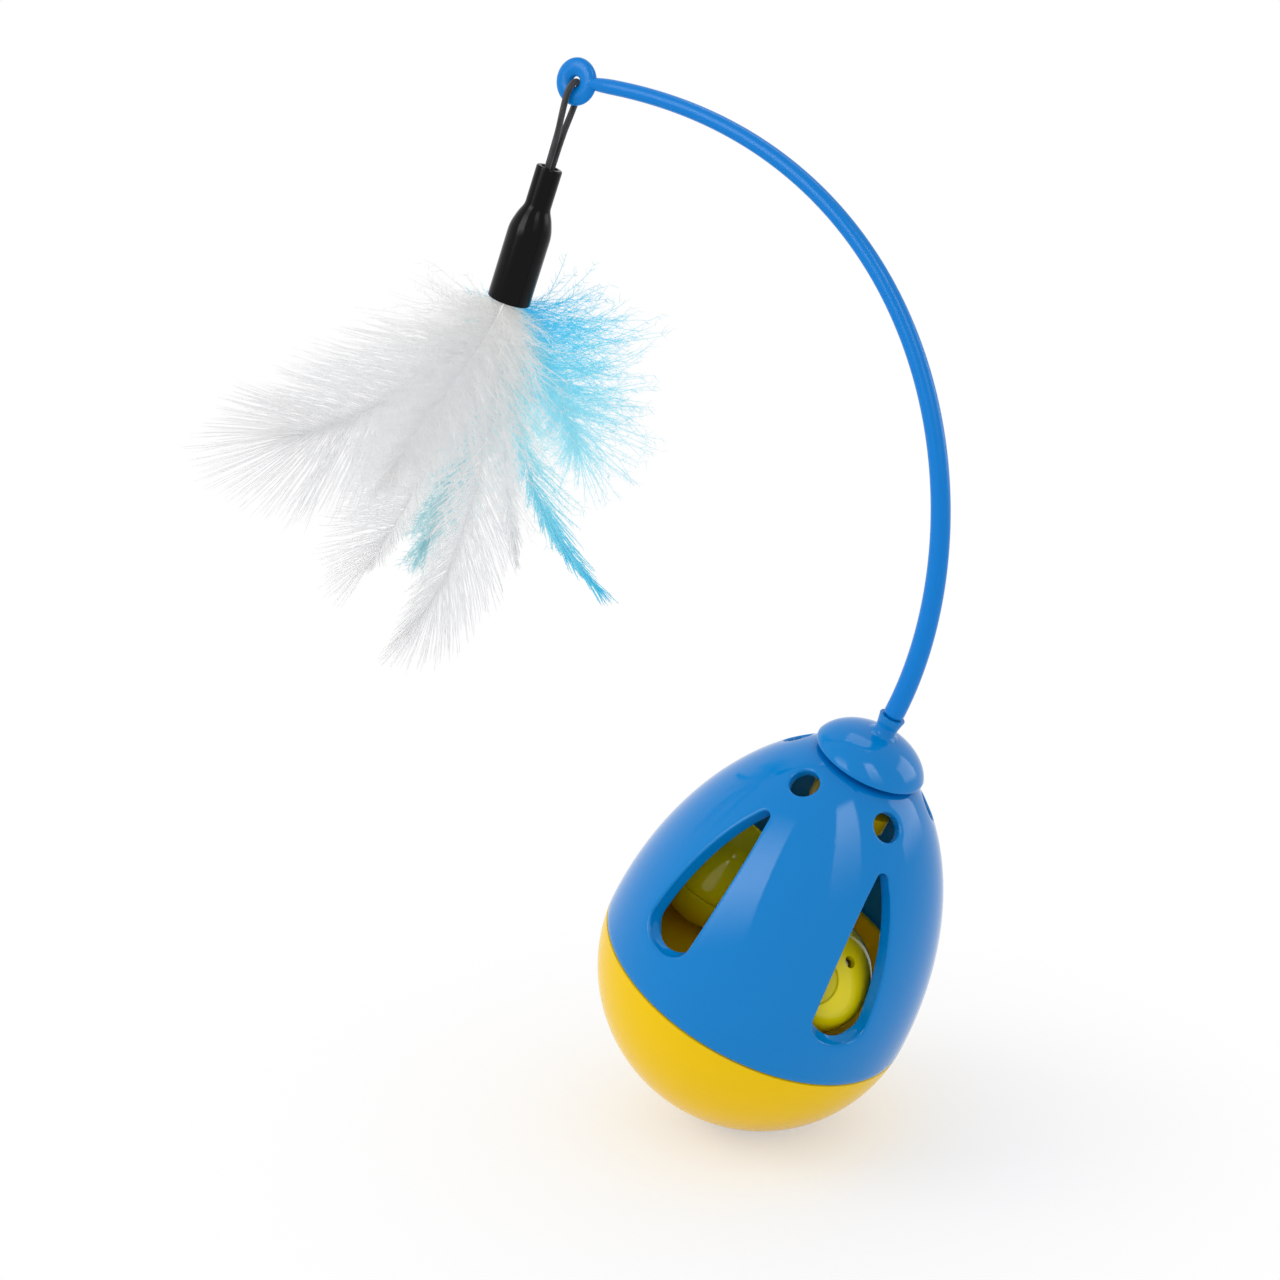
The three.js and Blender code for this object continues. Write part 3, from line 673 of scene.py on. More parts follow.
def opening_loops(points, outline, profile, border_out, border_in, rows):
    """Loops of (angle, height, depth) over a cell: the outside, the opening's edge and the inside."""
    edge = [points(outline, margin, depth) for margin, depth in profile]
    outside = np.hstack([border_out, np.zeros((len(border_out), 1))])
    inside = np.hstack([border_in, np.full((len(border_in), 1), shell_wall)])
    to_edge = [outside + (edge[0] - outside) * (at / rows) for at in range(rows)]
    to_border = [edge[-1] + (inside - edge[-1]) * (at / rows) for at in range(1, rows + 1)]
    return to_edge + edge + to_border


def band_faces(rows, sides):
    """Faces that join each of a number of closed rings to the next."""
    faces = []
    for row in range(rows - 1):
        for at in range(sides):
            a, b = row * sides + at, row * sides + (at + 1) % sides
            faces.append((a, b, b + sides, a + sides))
    return faces


def loft(name, rings):
    """Joins closed rings of points, each to the next."""
    return place_mesh(name, np.vstack(rings), band_faces(len(rings), len(rings[0])))


def strip(name, outline):
    """An open turned strip of the shell, to be merged with its neighbours."""
    sides = slot_count * end_cuts
    start = slot_start + math.pi / slot_count
    angles = np.linspace(start, start + turn, sides, endpoint=False)
    ring = np.stack([np.cos(angles), np.sin(angles), np.ones(sides)], axis=-1)
    return loft(name, [ring * (radius, radius, height) for radius, height in outline])


def make_upper_shell():
    """The blue shell: five cells, each round a slot and round a hole, between a turned foot and deck."""
    foot = seam_gap + seam_edge
    border = cell_border(side_cuts, end_cuts, foot, cell_split)
    hole_border = cell_border(hole_side_cuts, end_cuts, cell_split, deck_height)
    hole_inside = cell_border(hole_side_cuts, end_cuts, cell_split, deck_foot)
    slot = (slot_points, slot_outline(), opening_profile(slot_edge, slot_lip))
    hole = (hole_points, hole_outline(), opening_profile(hole_edge, 0))
    cells = {
        "slot": opening_loops(*slot, border, border, cell_rows),
        "hole": opening_loops(*hole, hole_border, hole_inside, hole_rows),
    }
    parts = []
    for at in range(slot_count):
        middle = slot_start + turn * at / slot_count
        for kind, loops in cells.items():
            parts.append(loft("shell_%s_%d" % (kind, at), [egg_ring(loop, middle) for loop in loops]))
    inner_foot = float(radius_at(foot, shell_wall))
    foot_outline = [
        (float(radius_at(foot, 0)), foot),
        (base_radius - seam_edge * 0.3, seam_gap + seam_edge * 0.3),
        (base_radius - seam_edge, seam_gap),
        (inner_foot, seam_gap),
        (inner_foot, foot),
    ]
    bore_radius = boss_radius + gap
    sleeve_foot = deck_foot - sleeve_height
    deck_outline = [
        (float(radius_at(deck_height, 0)), deck_height),
        (bore_radius, deck_height),
        (bore_radius, sleeve_foot),
        (bore_radius + sleeve_wall, sleeve_foot),
        (bore_radius + sleeve_wall, deck_foot),
        (float(radius_at(deck_foot, shell_wall)), deck_foot),
    ]
    parts += [strip("shell_foot", foot_outline), strip("shell_deck", deck_outline)]
    shell = parts[0]
    only(shell)
    for part in parts:
        part.select_set(True)
    bpy.ops.object.join()
    shell.name = "upper_shell_moulding"
    weld(shell, 5e-6)
    finish_piece(shell, egg_place, shell_blue, "egg", "upper_shell", 38)


make_upper_shell()


def make_lower_shell():
    """The yellow base: a round bowl with a collar inside the blue shell, cut flat where it stands."""
    inner = base_radius - base_wall
    seam_angle = math.asin(seam_drop / base_radius)
    foot_angle = math.asin((seam_drop - ledge_foot) / inner)
    collar_out = float(radius_at(collar_height, shell_wall)) - gap
    collar_in = collar_out - collar_wall
    seam_in = float(radius_at(0.0, shell_wall)) - gap
    outline = arc(seam_drop, base_radius, -right_angle, -seam_angle - seam_edge / base_radius, 56)
    outline += rounded([
        (base_radius - seam_edge * 0.3, -seam_gap - seam_edge * 0.4),
        (base_radius - seam_edge, -seam_gap),
        (seam_in, -seam_gap, 0.0004),
        (collar_out, collar_height, 0.0004),
        (collar_in, collar_height, 0.0004),
        (collar_in, ledge_top),
        (collar_in - ledge_width, ledge_top, 0.0002),
        (collar_in - ledge_width, ledge_top - ledge_thickness),
    ])
    outline += arc(seam_drop, inner, -foot_angle, -right_angle, 24)
    outline[0] = (0, outline[0][1])
    outline[-1] = (0, outline[-1][1])
    bowl = spun("lower_shell_moulding", outline, 144)
    settle(bowl, egg_place)
    bpy.ops.object.mode_set(mode="EDIT")
    bpy.ops.mesh.select_all(action="SELECT")
    bpy.ops.mesh.bisect(
        plane_co=(0, 0, 0), plane_no=(0, 0, 1), use_fill=True, clear_inner=True, threshold=1e-6
    )
    bpy.ops.object.mode_set(mode="OBJECT")
    finish_piece(bowl, None, shell_yellow, "egg", "lower_shell")


make_lower_shell()

cover_radius = float(radius_at(collar_height, shell_wall)) - gap - collar_wall - gap
cover_foot = ledge_top + gap
cover_top = cover_foot + cover_thickness
screw_angles = [screw_start + turn * at / 3 for at in range(3)]
screw_spots = [(screw_circle * math.cos(angle), screw_circle * math.sin(angle)) for angle in screw_angles]


def make_cover():
    """The floor that the balls run on, with a low crown that keeps them to the side."""
    crown = cover_top + crown_height
    outline = rounded([
        (0, crown - cover_thickness),
        (crown_radius - cover_thickness, cover_foot),
        (cover_radius, cover_foot, 0.0003),
        (cover_radius, cover_top, 0.0005),
        (crown_radius, cover_top, 0.0015),
        (crown_radius / 2, crown, 0.002),
        (0, crown),
    ])
    floor = spun("cover_moulding", outline, 96)
    for x, y in screw_spots:
        cut(floor, bore(screw_bore, cover_foot - 0.001, crown, x, y))
        cut(floor, bore(screw_sink, cover_top - screw_recess, crown, x, y))
    finish_piece(floor, egg_place, shell_yellow, "egg", "ballast_cover")


make_cover()


def pan_screw(node, shank, depth, head, height, place):
    """A pan-head screw with a cross recess and a turned thread."""
    outline = [(0, -depth), (shank * 0.45, -depth)]
    pitch = shank * thread_pitch_share
    runs = int((depth - shank) / pitch)
    for at in range(runs):
        low = -depth + shank + at * pitch
        root = (shank * thread_root_share, low)
        outline += [root, (shank, low + pitch * 0.35), (shank, low + pitch * 0.5)]
    outline += [(shank * screw_neck_share, -0.0002)]
    outline += rounded([
        (shank * screw_neck_share, 0),
        (head, 0, 0.0001),
        (head, height * 0.45, 0.0004),
        (head * 0.7, height, 0.0004),
        (0, height),
    ])
    screw = spun(node + "_steel", outline, 32)
    for across, along in (cross_recess, cross_recess[::-1]):
        cut(screw, block((across, along, height * 1.1), (0, 0, height)))
    finish_piece(screw, place, screw_steel, "egg", node)


def make_screws():
    head_foot = cover_top - screw_recess + gap
    for at, (x, y) in enumerate(screw_spots):
        place = egg_place @ Matrix.Translation((x, y, head_foot))
        pan_screw("cover_screw_%d" % (at + 1), *cover_screw, place)
    upside_down = Matrix.Translation((0, 0, web_foot - gap)) @ Matrix.Rotation(math.pi, 4, "X")
    pan_screw("retainer_screw", *retainer_screw, egg_place @ upside_down)


web_top = boss_foot - gap
web_foot = web_top - web_thickness
make_screws()

dome_foot = cap_rim + cap_rim_thickness
socket_foot = dome_foot + cap_dome
socket_top = socket_foot + socket_height


def make_cap():
    """The domed cap, with a flared socket for the wand on top and a hollow boss below."""
    seat = float(radius_at(deck_height, 0)) - cap_seat_inset
    seat_foot = deck_height + gap
    low, girth = math.sin(cap_edge_angle), math.cos(cap_edge_angle)
    edge = math.acos((socket_foot_radius + 0.0009) * girth / cap_radius)
    dome = [
        (cap_radius * r / girth, dome_foot + cap_dome * (z - low) / (1 - low))
        for r, z in arc(0, 1, cap_edge_angle, edge, 28)
    ]
    outline = rounded([
        (0, boss_foot + boss_bore_depth),
        (web_bore, boss_foot + boss_bore_depth),
        (web_bore, boss_foot),
        (boss_radius, boss_foot, 0.0004),
        (boss_radius, seat_foot + cap_seat_height),
        (seat - cap_seat_width, seat_foot + cap_seat_height),
        (seat - cap_seat_width, seat_foot),
        (seat, seat_foot, 0.0002),
        (seat, cap_rim),
        (cap_radius - 0.0003, cap_rim, 0.0002),
        (cap_radius, cap_rim + 0.0003),
        *dome,
        (socket_foot_radius + 0.0002, socket_foot + 0.0003),
        (socket_foot_radius, socket_foot + 0.0010),
        (socket_foot_radius + 0.00012, socket_foot + 0.0022),
        (socket_mouth_radius, socket_top, 0.00025),
        (spigot_radius + gap, socket_top, 0.0002),
        (spigot_radius + gap, socket_top - socket_depth),
        (0, socket_top - socket_depth),
    ])
    cap = spun("cap_moulding", outline, 128)
    finish_piece(cap, egg_place, shell_blue, "egg", "cap", 34)


make_cap()


def make_retainer():
    """The winged nut: a round cup with two rounded wings, screwed up under the cap's boss."""
    top = deck_foot - sleeve_height - gap
    bore_radius = boss_radius + gap
    outline = rounded([
        (web_bore, web_foot),
        (cup_radius, web_foot, 0.0005),
        (cup_radius, top, 0.0004),
        (bore_radius, top, 0.0003),
        (bore_radius, web_top),
        (web_bore, web_top),
    ])
    cup = spun("retainer_moulding", outline, 72)
    wings = block(wing_size, (0, 0, top - wing_size[2] / 2))
    upright = wings.modifiers.new("ends", "BEVEL")
    upright.width = wing_end_radius
    upright.segments = 10
    upright.limit_method = "WEIGHT"
    weights = wings.data.attributes.new("bevel_weight_edge", "FLOAT", "EDGE")
    for edge in wings.data.edges:
        ends = [wings.data.vertices[at].co for at in edge.vertices]
        weights.data[edge.index].value = 1.0 if abs(ends[0].z - ends[1].z) > 0.001 else 0.0
    bpy.ops.object.modifier_apply(modifier=upright.name)
    settle(wings, Matrix.Rotation(wing_turn, 4, "Z"))
    cut(wings, bore(bore_radius + 0.001, web_foot, top + 0.001, sides=72))
    cut(cup, wings, "UNION")
    finish_piece(cup, egg_place, shell_yellow, "egg", "cap_retainer")


make_retainer()


def rod_along(name, points, radii, sides):
    """A round rod along a line of points, with U round it and V along it."""
    points = [Vector(point) for point in points]
    radii = np.broadcast_to(radii, len(points))
    ends = zip(points[:1] + points[:-1], points[1:] + points[-1:])
    along = [(after - before).normalized() for before, after in ends]
    side = along[0].orthogonal().normalized()
    verts, uv, run = [], [], 0.0
    for at, (point, ahead, radius) in enumerate(zip(points, along, radii)):
        side = (side - ahead * side.dot(ahead)).normalized()
        other = ahead.cross(side)
        run += (point - points[at - 1]).length if at else 0.0
        for k in range(sides):
            angle = turn * k / sides
            verts.append(point + side * radius * math.cos(angle) + other * radius * math.sin(angle))
            uv.append((k / sides, run))
    faces = band_faces(len(points), sides)
    faces.append(tuple(range(sides))[::-1])
    faces.append(tuple(range(len(verts) - sides, len(verts))))
    return place_mesh(name, verts, faces, uv)


def make_wand():
    """The bent rod: pushed into the cap's socket, thinner towards the eyelet moulded on its tip."""
    loop_middle = Vector((-wand_reach, 0, wand_rise))
    ahead = Vector((-math.cos(wand_tip_droop), 0, -math.sin(wand_tip_droop)))
    tip = loop_middle - ahead * eyelet_radius
    start = Vector((0, 0, socket_top + gap))
    handle = start + Vector((0, 0, wand_base_handle))
    line = bezier(start, handle, tip - ahead * wand_tip_handle, tip, wand_cuts)
    shares = np.linspace(0, 1, len(line))
    radii = wand_base_radius + (wand_tip_radius - wand_base_radius) * shares
    radii[:2] = (wand_base_radius - wand_edge, wand_base_radius)
    ending = np.clip((shares - wand_end_share) / (1 - wand_end_share), 0, 1)
    radii -= (wand_tip_radius - wand_end_radius) * ending**2
    rod = rod_along("wand_rod", line, radii, 28)
    spigot_foot = socket_top - socket_depth + gap
    cut(rod, bore(spigot_radius, spigot_foot, socket_top + 2 * gap, sides=40), "UNION")
    bpy.ops.mesh.primitive_torus_add(
        location=loop_middle, rotation=(right_angle, 0, 0), major_segments=72, minor_segments=36,
        major_radius=eyelet_radius, minor_radius=eyelet_tube,
    )
    ring = bpy.context.object
    ring.scale.z = eyelet_flat_share
    settle(ring)
    cut(rod, ring, "UNION")
    finish_piece(rod, egg_place, wand_blue, "wand", "wand", 50)


make_wand()

# Cord: up one strand, over the eyelet's lower bar and down, in the pendant's own frame
cord_points = [
    (0, -0.00092, -0.0324),
    (0, -0.00092, -0.029),
    (0, -0.00092, -0.024),
    (0, -0.00095, -0.019),
    (0, -0.0012, -0.012),
    (0, -0.00175, -0.008),
    (0, -0.00215, -0.005),
    (0, -0.00231, -0.0032),
    (0, -0.00195, -0.0016),
    (0, -0.0011, -0.00045),
    (0, 0, -0.00005),
    (0, 0.0011, -0.00045),
    (0, 0.00195, -0.0016),
    (0, 0.00231, -0.0032),
    (0, 0.00215, -0.005),
    (0, 0.00175, -0.008),
    (0, 0.0012, -0.012),
    (0, 0.00095, -0.019),
    (0, 0.00092, -0.024),
    (0, 0.00092, -0.029),
    (0, 0.00092, -0.0324),
]


def smooth_line(points, steps):
    """A smooth line through points, with some steps from each to the next."""
    points = [Vector(point) for point in points]
    line = []
    for at in range(len(points) - 1):
        before = points[max(at - 1, 0)]
        here, after = points[at], points[at + 1]
        beyond = points[min(at + 2, len(points) - 1)]
        for step in range(steps):
            t = step / steps
            line.append(
                0.5 * (2 * here + (after - before) * t + (2 * before - 5 * here + 4 * after - beyond) * t**2
                       + (3 * here - before - 3 * after + beyond) * t**3)
            )
    line.append(points[-1])
    return line


def make_cord():
    line = [pendant_place @ point for point in smooth_line(cord_points, 6)]
    cord = rod_along("cord_braid", line, cord_diameter / 2, 16)
    finish_piece(cord, None, woven_cord(), "loop", "cord_loop", 60)
    length = sum((b - a).length for a, b in zip(line, line[1:]))


make_cord()


def make_ferrule():
    """The black bottle-shaped holder: a neck for the cord, and a sleeve for the quills."""
    top = -ferrule_drop
    mouth = top - ferrule_length
    shoulder_top = top - neck_length
    shoulder_foot = shoulder_top - shoulder_length
    chamber = ferrule_radius - ferrule_wall
    chamber_top = shoulder_top - gap
    outline = rounded([
        (chamber, mouth, 0.0002),
        (ferrule_radius, mouth, 0.0003),
        (ferrule_radius, shoulder_foot, 0.0016),
        ((ferrule_radius + neck_radius) / 2, shoulder_foot + shoulder_length * 0.6, 0.0008),
        (neck_radius, shoulder_top, 0.0008),
        (neck_radius, top, 0.0005),
        (neck_bore, top, 0.0003),
        (neck_bore, chamber_top),
        (knot_radius + gap, chamber_top - gap),
        (knot_radius + gap, shoulder_foot + gap),
        (chamber, shoulder_foot - shoulder_length / 2),
    ], 6)
    holder = spun("ferrule_moulding", outline, 96)
    finish_piece(holder, pendant_place, ferrule_black, "pendant", "ferrule")


make_ferrule()

# Pieces that stay as the model has them, hidden or nearly so: the weight, the knot and the plug
for node, material in (
    ("ballast_weight", cast_iron()),
    ("cord_knot", bpy.data.materials["cord_braid"]),
    ("feather_plug", set_glue()),
):
    carried = frame["nodes"][node]
    carried.data.materials.clear()
    carried.data.materials.append(material)


# Balls: the way each one's pole points in the egg's frame, its turn about that, and the three vents'
# shapes, which are round, square and triangular
ball_poles = {"a": (0.12, -0.04, 0.99), "b": (0.28, -0.86, 0.42)}
ball_spins = {"a": 0, "b": math.radians(68)}
vent_sides = (24, 4, 3)


def make_ball(name):
    """Two halves that meet at a seam, each with a sunk disc at its pole and three vents, and a bell."""
    middle = Vector(joints["bell_%s_roll" % name]["pos_m"])
    upright = Vector((0, 0, 1)).rotation_difference(Vector(ball_poles[name]).normalized())
    place = Matrix.Translation(middle) @ (egg_place.to_3x3().to_4x4() @ upright.to_matrix().to_4x4())
    inner = ball_radius - ball_wall
    disc_edge = math.acos(disc_radius / ball_radius)
    disc = math.sqrt(ball_radius**2 - disc_radius**2) - disc_depth
    rim = arc(0, ball_radius, seam_gap / ball_radius, disc_edge, 26)
    lining = [(r, min(z, disc - disc_wall)) for r, z in arc(0, inner, right_angle, seam_gap / inner, 20)]
    outline = rounded([
        (ball_radius - 0.0002, seam_gap),
        *rim[1:-1],
        (*rim[-1], 0.0002),
        (disc_radius - 0.0003, disc, 0.0002),
        (0, disc),
        *lining[:-1],
        (inner, seam_gap),
    ], 3)
    for half in (1, 2):
        shell = spun("ball_%s_shell_%d" % (name, half), outline, 80)
        for at, sides in enumerate(vent_sides):
            vent = bore(vent_radius, ball_radius / 2, ball_radius + 0.001, sides=sides)
            spot = Matrix.Rotation(ball_spins[name] + turn * at / 3, 4, "Z")
            spot @= Matrix.Rotation(vent_latitude, 4, "Y")
            settle(vent, spot)
            cut(shell, vent)
        if half == 2:
            settle(shell, Matrix.Rotation(math.pi, 4, "X"))
        node = "ball_%s_half_%d" % (name, half)
        finish_piece(shell, place, ball_yellow, "ball_" + name, node)
    make_bell(name, middle)


def make_bell(name, middle):
    """A round sheet-metal bell with a slot below, lying in the bottom of its ball."""
    drop = ball_radius - ball_wall - gap - bell_radius
    bpy.ops.mesh.primitive_uv_sphere_add(segments=40, ring_count=24, radius=bell_radius)
    bell = bpy.context.object
    bell.name = "ball_%s_chime" % name
    wall = bell.modifiers.new("wall", "SOLIDIFY")
    wall.thickness = bell_wall
    bpy.ops.object.modifier_apply(modifier=wall.name)
    cut(bell, block((2 * bell_radius, bell_slit, bell_radius), (0, 0, -bell_radius / 2)))
    place = Matrix.Translation(middle - Vector((0, 0, drop)))
    finish_piece(bell, place, bell_steel, "bell_" + name, "ball_%s_bell" % name)


make_ball("a")
make_ball("b")


# Feathers, front to back: spine's end, bend and quill in shares of the fan's length, as (across, up).
# reach: the barbs' length to the left and right of the spine; tip: how long they still are at its end;
# angles: of the barbs from the spine, at the quill and at the tip, and curl: how far they close again;
# down: the share of the spine with loose down; tufts and clump: how many bunches the barbs draw into,
# and how tightly; hairs: on each barb.
Feather = namedtuple("Feather", "end bend quill reach tip down angles curl barbs tufts clump hairs")
feathers = {
    "white_1": Feather(
        (-0.3, -0.44), (-0.2, -0.28), -0.005, (0.22, 0.16), 0.5, 1.0, (78, 50), 26, 210, 34, 0.5, 28
    ),
    "white_2": Feather(
        (-0.56, -0.345), (-0.37, -0.33), -0.005, (0.3, 0.33), 0.85, 0.3, (66, 34), 6, 300, 34, 1.0, 5
    ),
    "white_3": Feather(
        (-0.26, -0.86), (-0.07, -0.68), 0, (0.17, 0.25), 0.6, 0.5, (60, 28), 10, 260, 34, 0.9, 12
    ),
    "white_4": Feather(
        (-0.38, -0.7), (-0.24, -0.5), 0, (0.22, 0.06), 0.8, 0.2, (78, 50), 6, 330, 13, 0.8, 4
    ),
    "turquoise_1": Feather(
        (-0.25, -0.68), (-0.13, -0.46), 0, (0.17, 0.16), 0.5, 1.0, (70, 40), 20, 150, 34, 0.5, 24
    ),
    "white_5": Feather(
        (0.0, -0.7), (-0.03, -0.5), 0.003, (0.1, 0.1), 0.6, 0.8, (55, 20), 20, 120, 24, 0.7, 12
    ),
    "turquoise_2": Feather(
        (0.22, -0.81), (-0.02, -0.56), 0.015, (0.1, 0.2), 0.4, 0.66, (52, 8), 10, 180, 28, 0.9, 18
    ),
    "turquoise_3": Feather(
        (0.17, -0.42), (0.13, -0.17), 0.02, (0.16, 0.3), 0.7, 1.0, (88, 45), 4, 250, 15, 1.5, 26
    ),
}
facing = np.array([0.0, -1.0, 0.0])

# Spines start this far inside the ferrule, and barbs at a share of their length
spine_cuts = 200
spine_start = 0.004
spine_handle = 0.12
bend_depth = 0.6
shaft_cuts = 20
shaft_sides = 8
first_barb = 0.065
closing_share = 0.14

# Barbs, and how far each one strays from its neighbours
barb_joints = 8
barb_width = 0.00011
barb_tip_share = 0.45
barb_clearance = 0.0002
least_length = 0.35
length_spread = (0.8, 1.12)
loose_length_spread = (-0.45, 0.25)
tuft_spread = 0.3
tuft_turn = 9
lean_spread = 0.16
puff_spread = 0.1
loose_puff_spread = 0.28
curl_spread = 0.35
wave_spread = 0.22
wave_turn = 9

# Hairs on the barbs
hair_length = 0.0019
hair_width = 0.000035
hair_lengths = (0.5, 1.3)
hair_angles = (0.5, 1.1)
hair_lift = 0.35
hair_bend = 0.55


def spine_of(feather, layer):
    """The spine's points in the fan's frame, and its unit directions."""
    middle = (len(feathers) - 1) / 2
    down = (fan_place.inverted().to_3x3() @ -pendant_axis).normalized()
    quill = Vector((feather.quill * fan_length, (layer - middle) * quill_pitch, 0))
    quill = quill - down * quill.dot(down)
    depth = (layer - middle) / middle * fan_depth
    end = Vector((feather.end[0] * fan_length, depth, feather.end[1] * fan_length))
    bend = Vector((feather.bend[0] * fan_length, depth * bend_depth, feather.bend[1] * fan_length))
    start, handle = quill - down * spine_start, quill + down * fan_length * spine_handle
    line = bezier(start, handle, bend, end, spine_cuts)
    ahead = np.gradient(line, axis=0)
    return line, ahead / np.linalg.norm(ahead, axis=1)[:, None]


def unit(v):
    return v / np.maximum(np.linalg.norm(v, axis=-1, keepdims=True), 1e-12)


def fibres(lines, sides, widths):
    """Closed three-sided fibres along lines of points: one point at each tip."""
    count, steps = lines.shape[:2]
    ahead = unit(np.gradient(lines, axis=1))
    across = unit(sides - ahead * np.sum(sides * ahead, axis=-1, keepdims=True))
    out = np.cross(ahead, across)
    width = widths[:, :, None]
    ring = np.stack([lines + across * width, lines - across * width, lines + out * width * 0.8], axis=2)
    body = ring[:, :-1].reshape(count, (steps - 1) * 3, 3)
    points = np.concatenate([body, lines[:, -1:]], axis=1)
    faces = [(0, 1, 2)]
    for at in range(steps - 2):
        for k in range(3):
            a, b = 3 * at + k, 3 * at + (k + 1) % 3
            faces.append((a, a + 3, b + 3))
            faces.append((a, b + 3, b))
    last, tip = 3 * (steps - 2), 3 * (steps - 1)
    faces += [(last + k, tip, last + (k + 1) % 3) for k in range(3)]
    size = points.shape[1]
    faces = np.array(faces)[None] + (np.arange(count) * size)[:, None, None]
    return points.reshape(-1, 3), faces.reshape(-1, 3), size


def clear_of_ferrule(lines):
    """Which lines, in the fan's frame, don't pass through the wall of the ferrule above its mouth."""
    step = np.linspace(0, 1, 6)[:, None]
    points = (lines[:, :-1, None] * (1 - step) + lines[:, 1:, None] * step).reshape(len(lines), -1, 3)
    up = np.array(fan_place.inverted().to_3x3() @ pendant_axis)
    height = points @ up
    away = np.linalg.norm(points - height[..., None] * up, axis=-1)
    in_wall = (away > ferrule_radius - ferrule_wall) & (away < ferrule_radius + barb_clearance)
    return ~np.any(in_wall & (height > -barb_clearance), axis=1)


def grow_barbs(feather, layer, draw):
    """The spine, the lines of barbs on both sides of it, and each one's place along it and looseness."""
    spine, ahead = spine_of(feather, layer)
    barbs, tags = [], []
    count = feather.barbs
    first, final = (math.radians(angle) for angle in feather.angles)
    for hand, reach in zip((1, -1), feather.reach):
        t = first_barb + (1 - first_barb) * (np.arange(count) + draw.uniform(0, 1, count)) / count
        t = t**0.9
        clumps = np.round(t * feather.tufts + draw.uniform(-tuft_spread, tuft_spread, count)) / feather.tufts
        at = np.clip((t * spine_cuts).astype(int), 0, spine_cuts)
        root, run = spine[at], ahead[at]
        lateral = unit(np.cross(run, facing)) * hand
        loose = np.clip((feather.down - t) / 0.2 + 0.5, 0, 1)
        swell = np.sin(np.pi * np.clip(t, 0, 1) ** 0.75) ** 0.5
        least = least_length + (feather.tip - least_length) * t**2
        length = reach * fan_length * (least + (1 - least) * swell) * draw.uniform(*length_spread, count)
        length *= 1 + loose * draw.uniform(*loose_length_spread, count)
        lean = first + (final - first) * t + loose * draw.normal(0, lean_spread, count)
        lean *= np.clip((1 - t) / closing_share, 0, 1) ** 0.7
        lean += (clumps - t) * feather.clump * tuft_turn
        puff = draw.normal(0, puff_spread, count) + loose * draw.normal(0, loose_puff_spread, count)
        curl = math.radians(feather.curl) * (1 - loose * 0.5) + loose * draw.normal(0, curl_spread, count)
        wave = loose * draw.uniform(0.0, wave_spread, count)
        phase = draw.uniform(0, turn, count)
        line = [root]
        for step in range(1, barb_joints):
            share = step / (barb_joints - 1)
            angle = lean - curl * share + wave * np.sin(phase + share * wave_turn)
            heading = run * np.cos(angle)[:, None] + lateral * np.sin(angle)[:, None]
            heading = unit(heading + facing * (puff * (0.4 + share))[:, None])
            line.append(line[-1] + heading * (length / (barb_joints - 1))[:, None])
        barbs.append(np.stack(line, axis=1))
        tags.append(np.stack([t, loose], axis=-1))
    lines = np.concatenate(barbs)
    clear = clear_of_ferrule(lines)
    return spine, lines[clear], np.concatenate(tags)[clear]


def grow_hairs(hairs, lines, marks, draw):
    """Lines of the hairs on the barbs, the directions across them, and the marks of their barbs."""
    size = (len(lines), hairs)
    where = 0.03 + 0.95 * draw.uniform(0, 1, size) ** 1.5
    place = where * (barb_joints - 1)
    low = np.clip(place.astype(int), 0, barb_joints - 2)
    share = (place - low)[..., None]
    pick = np.arange(len(lines))[:, None]
    before, after = lines[pick, low], lines[pick, low + 1]
    base = before * (1 - share) + after * share
    run = unit(after - before)
    hand = np.where(draw.uniform(0, 1, size) < 0.5, -1.0, 1.0)[..., None]
    side = np.cross(run, facing) * hand
    loose = marks[:, 1][:, None, None]
    angle = draw.uniform(*hair_angles, size)[..., None] * (0.6 + 0.4 * loose)
    lift = draw.normal(0, hair_lift, size)[..., None] * loose
    heading = unit(run * np.cos(angle) + side * np.sin(angle) + facing * lift)
    reach = hair_length * (0.35 + 0.9 * loose) * draw.uniform(*hair_lengths, size)[..., None]
    bent = unit(heading + run * 0.5)
    middle = base + heading * reach * hair_bend
    tip = middle + bent * reach * (1 - hair_bend)
    hair = np.stack([base, middle, tip], axis=2).reshape(-1, 3, 3)
    clear = clear_of_ferrule(hair)
    sides = np.repeat(np.cross(heading, facing).reshape(-1, 1, 3)[clear], 3, axis=1)
    return hair[clear], sides, np.repeat(marks, hairs, axis=0)[clear]


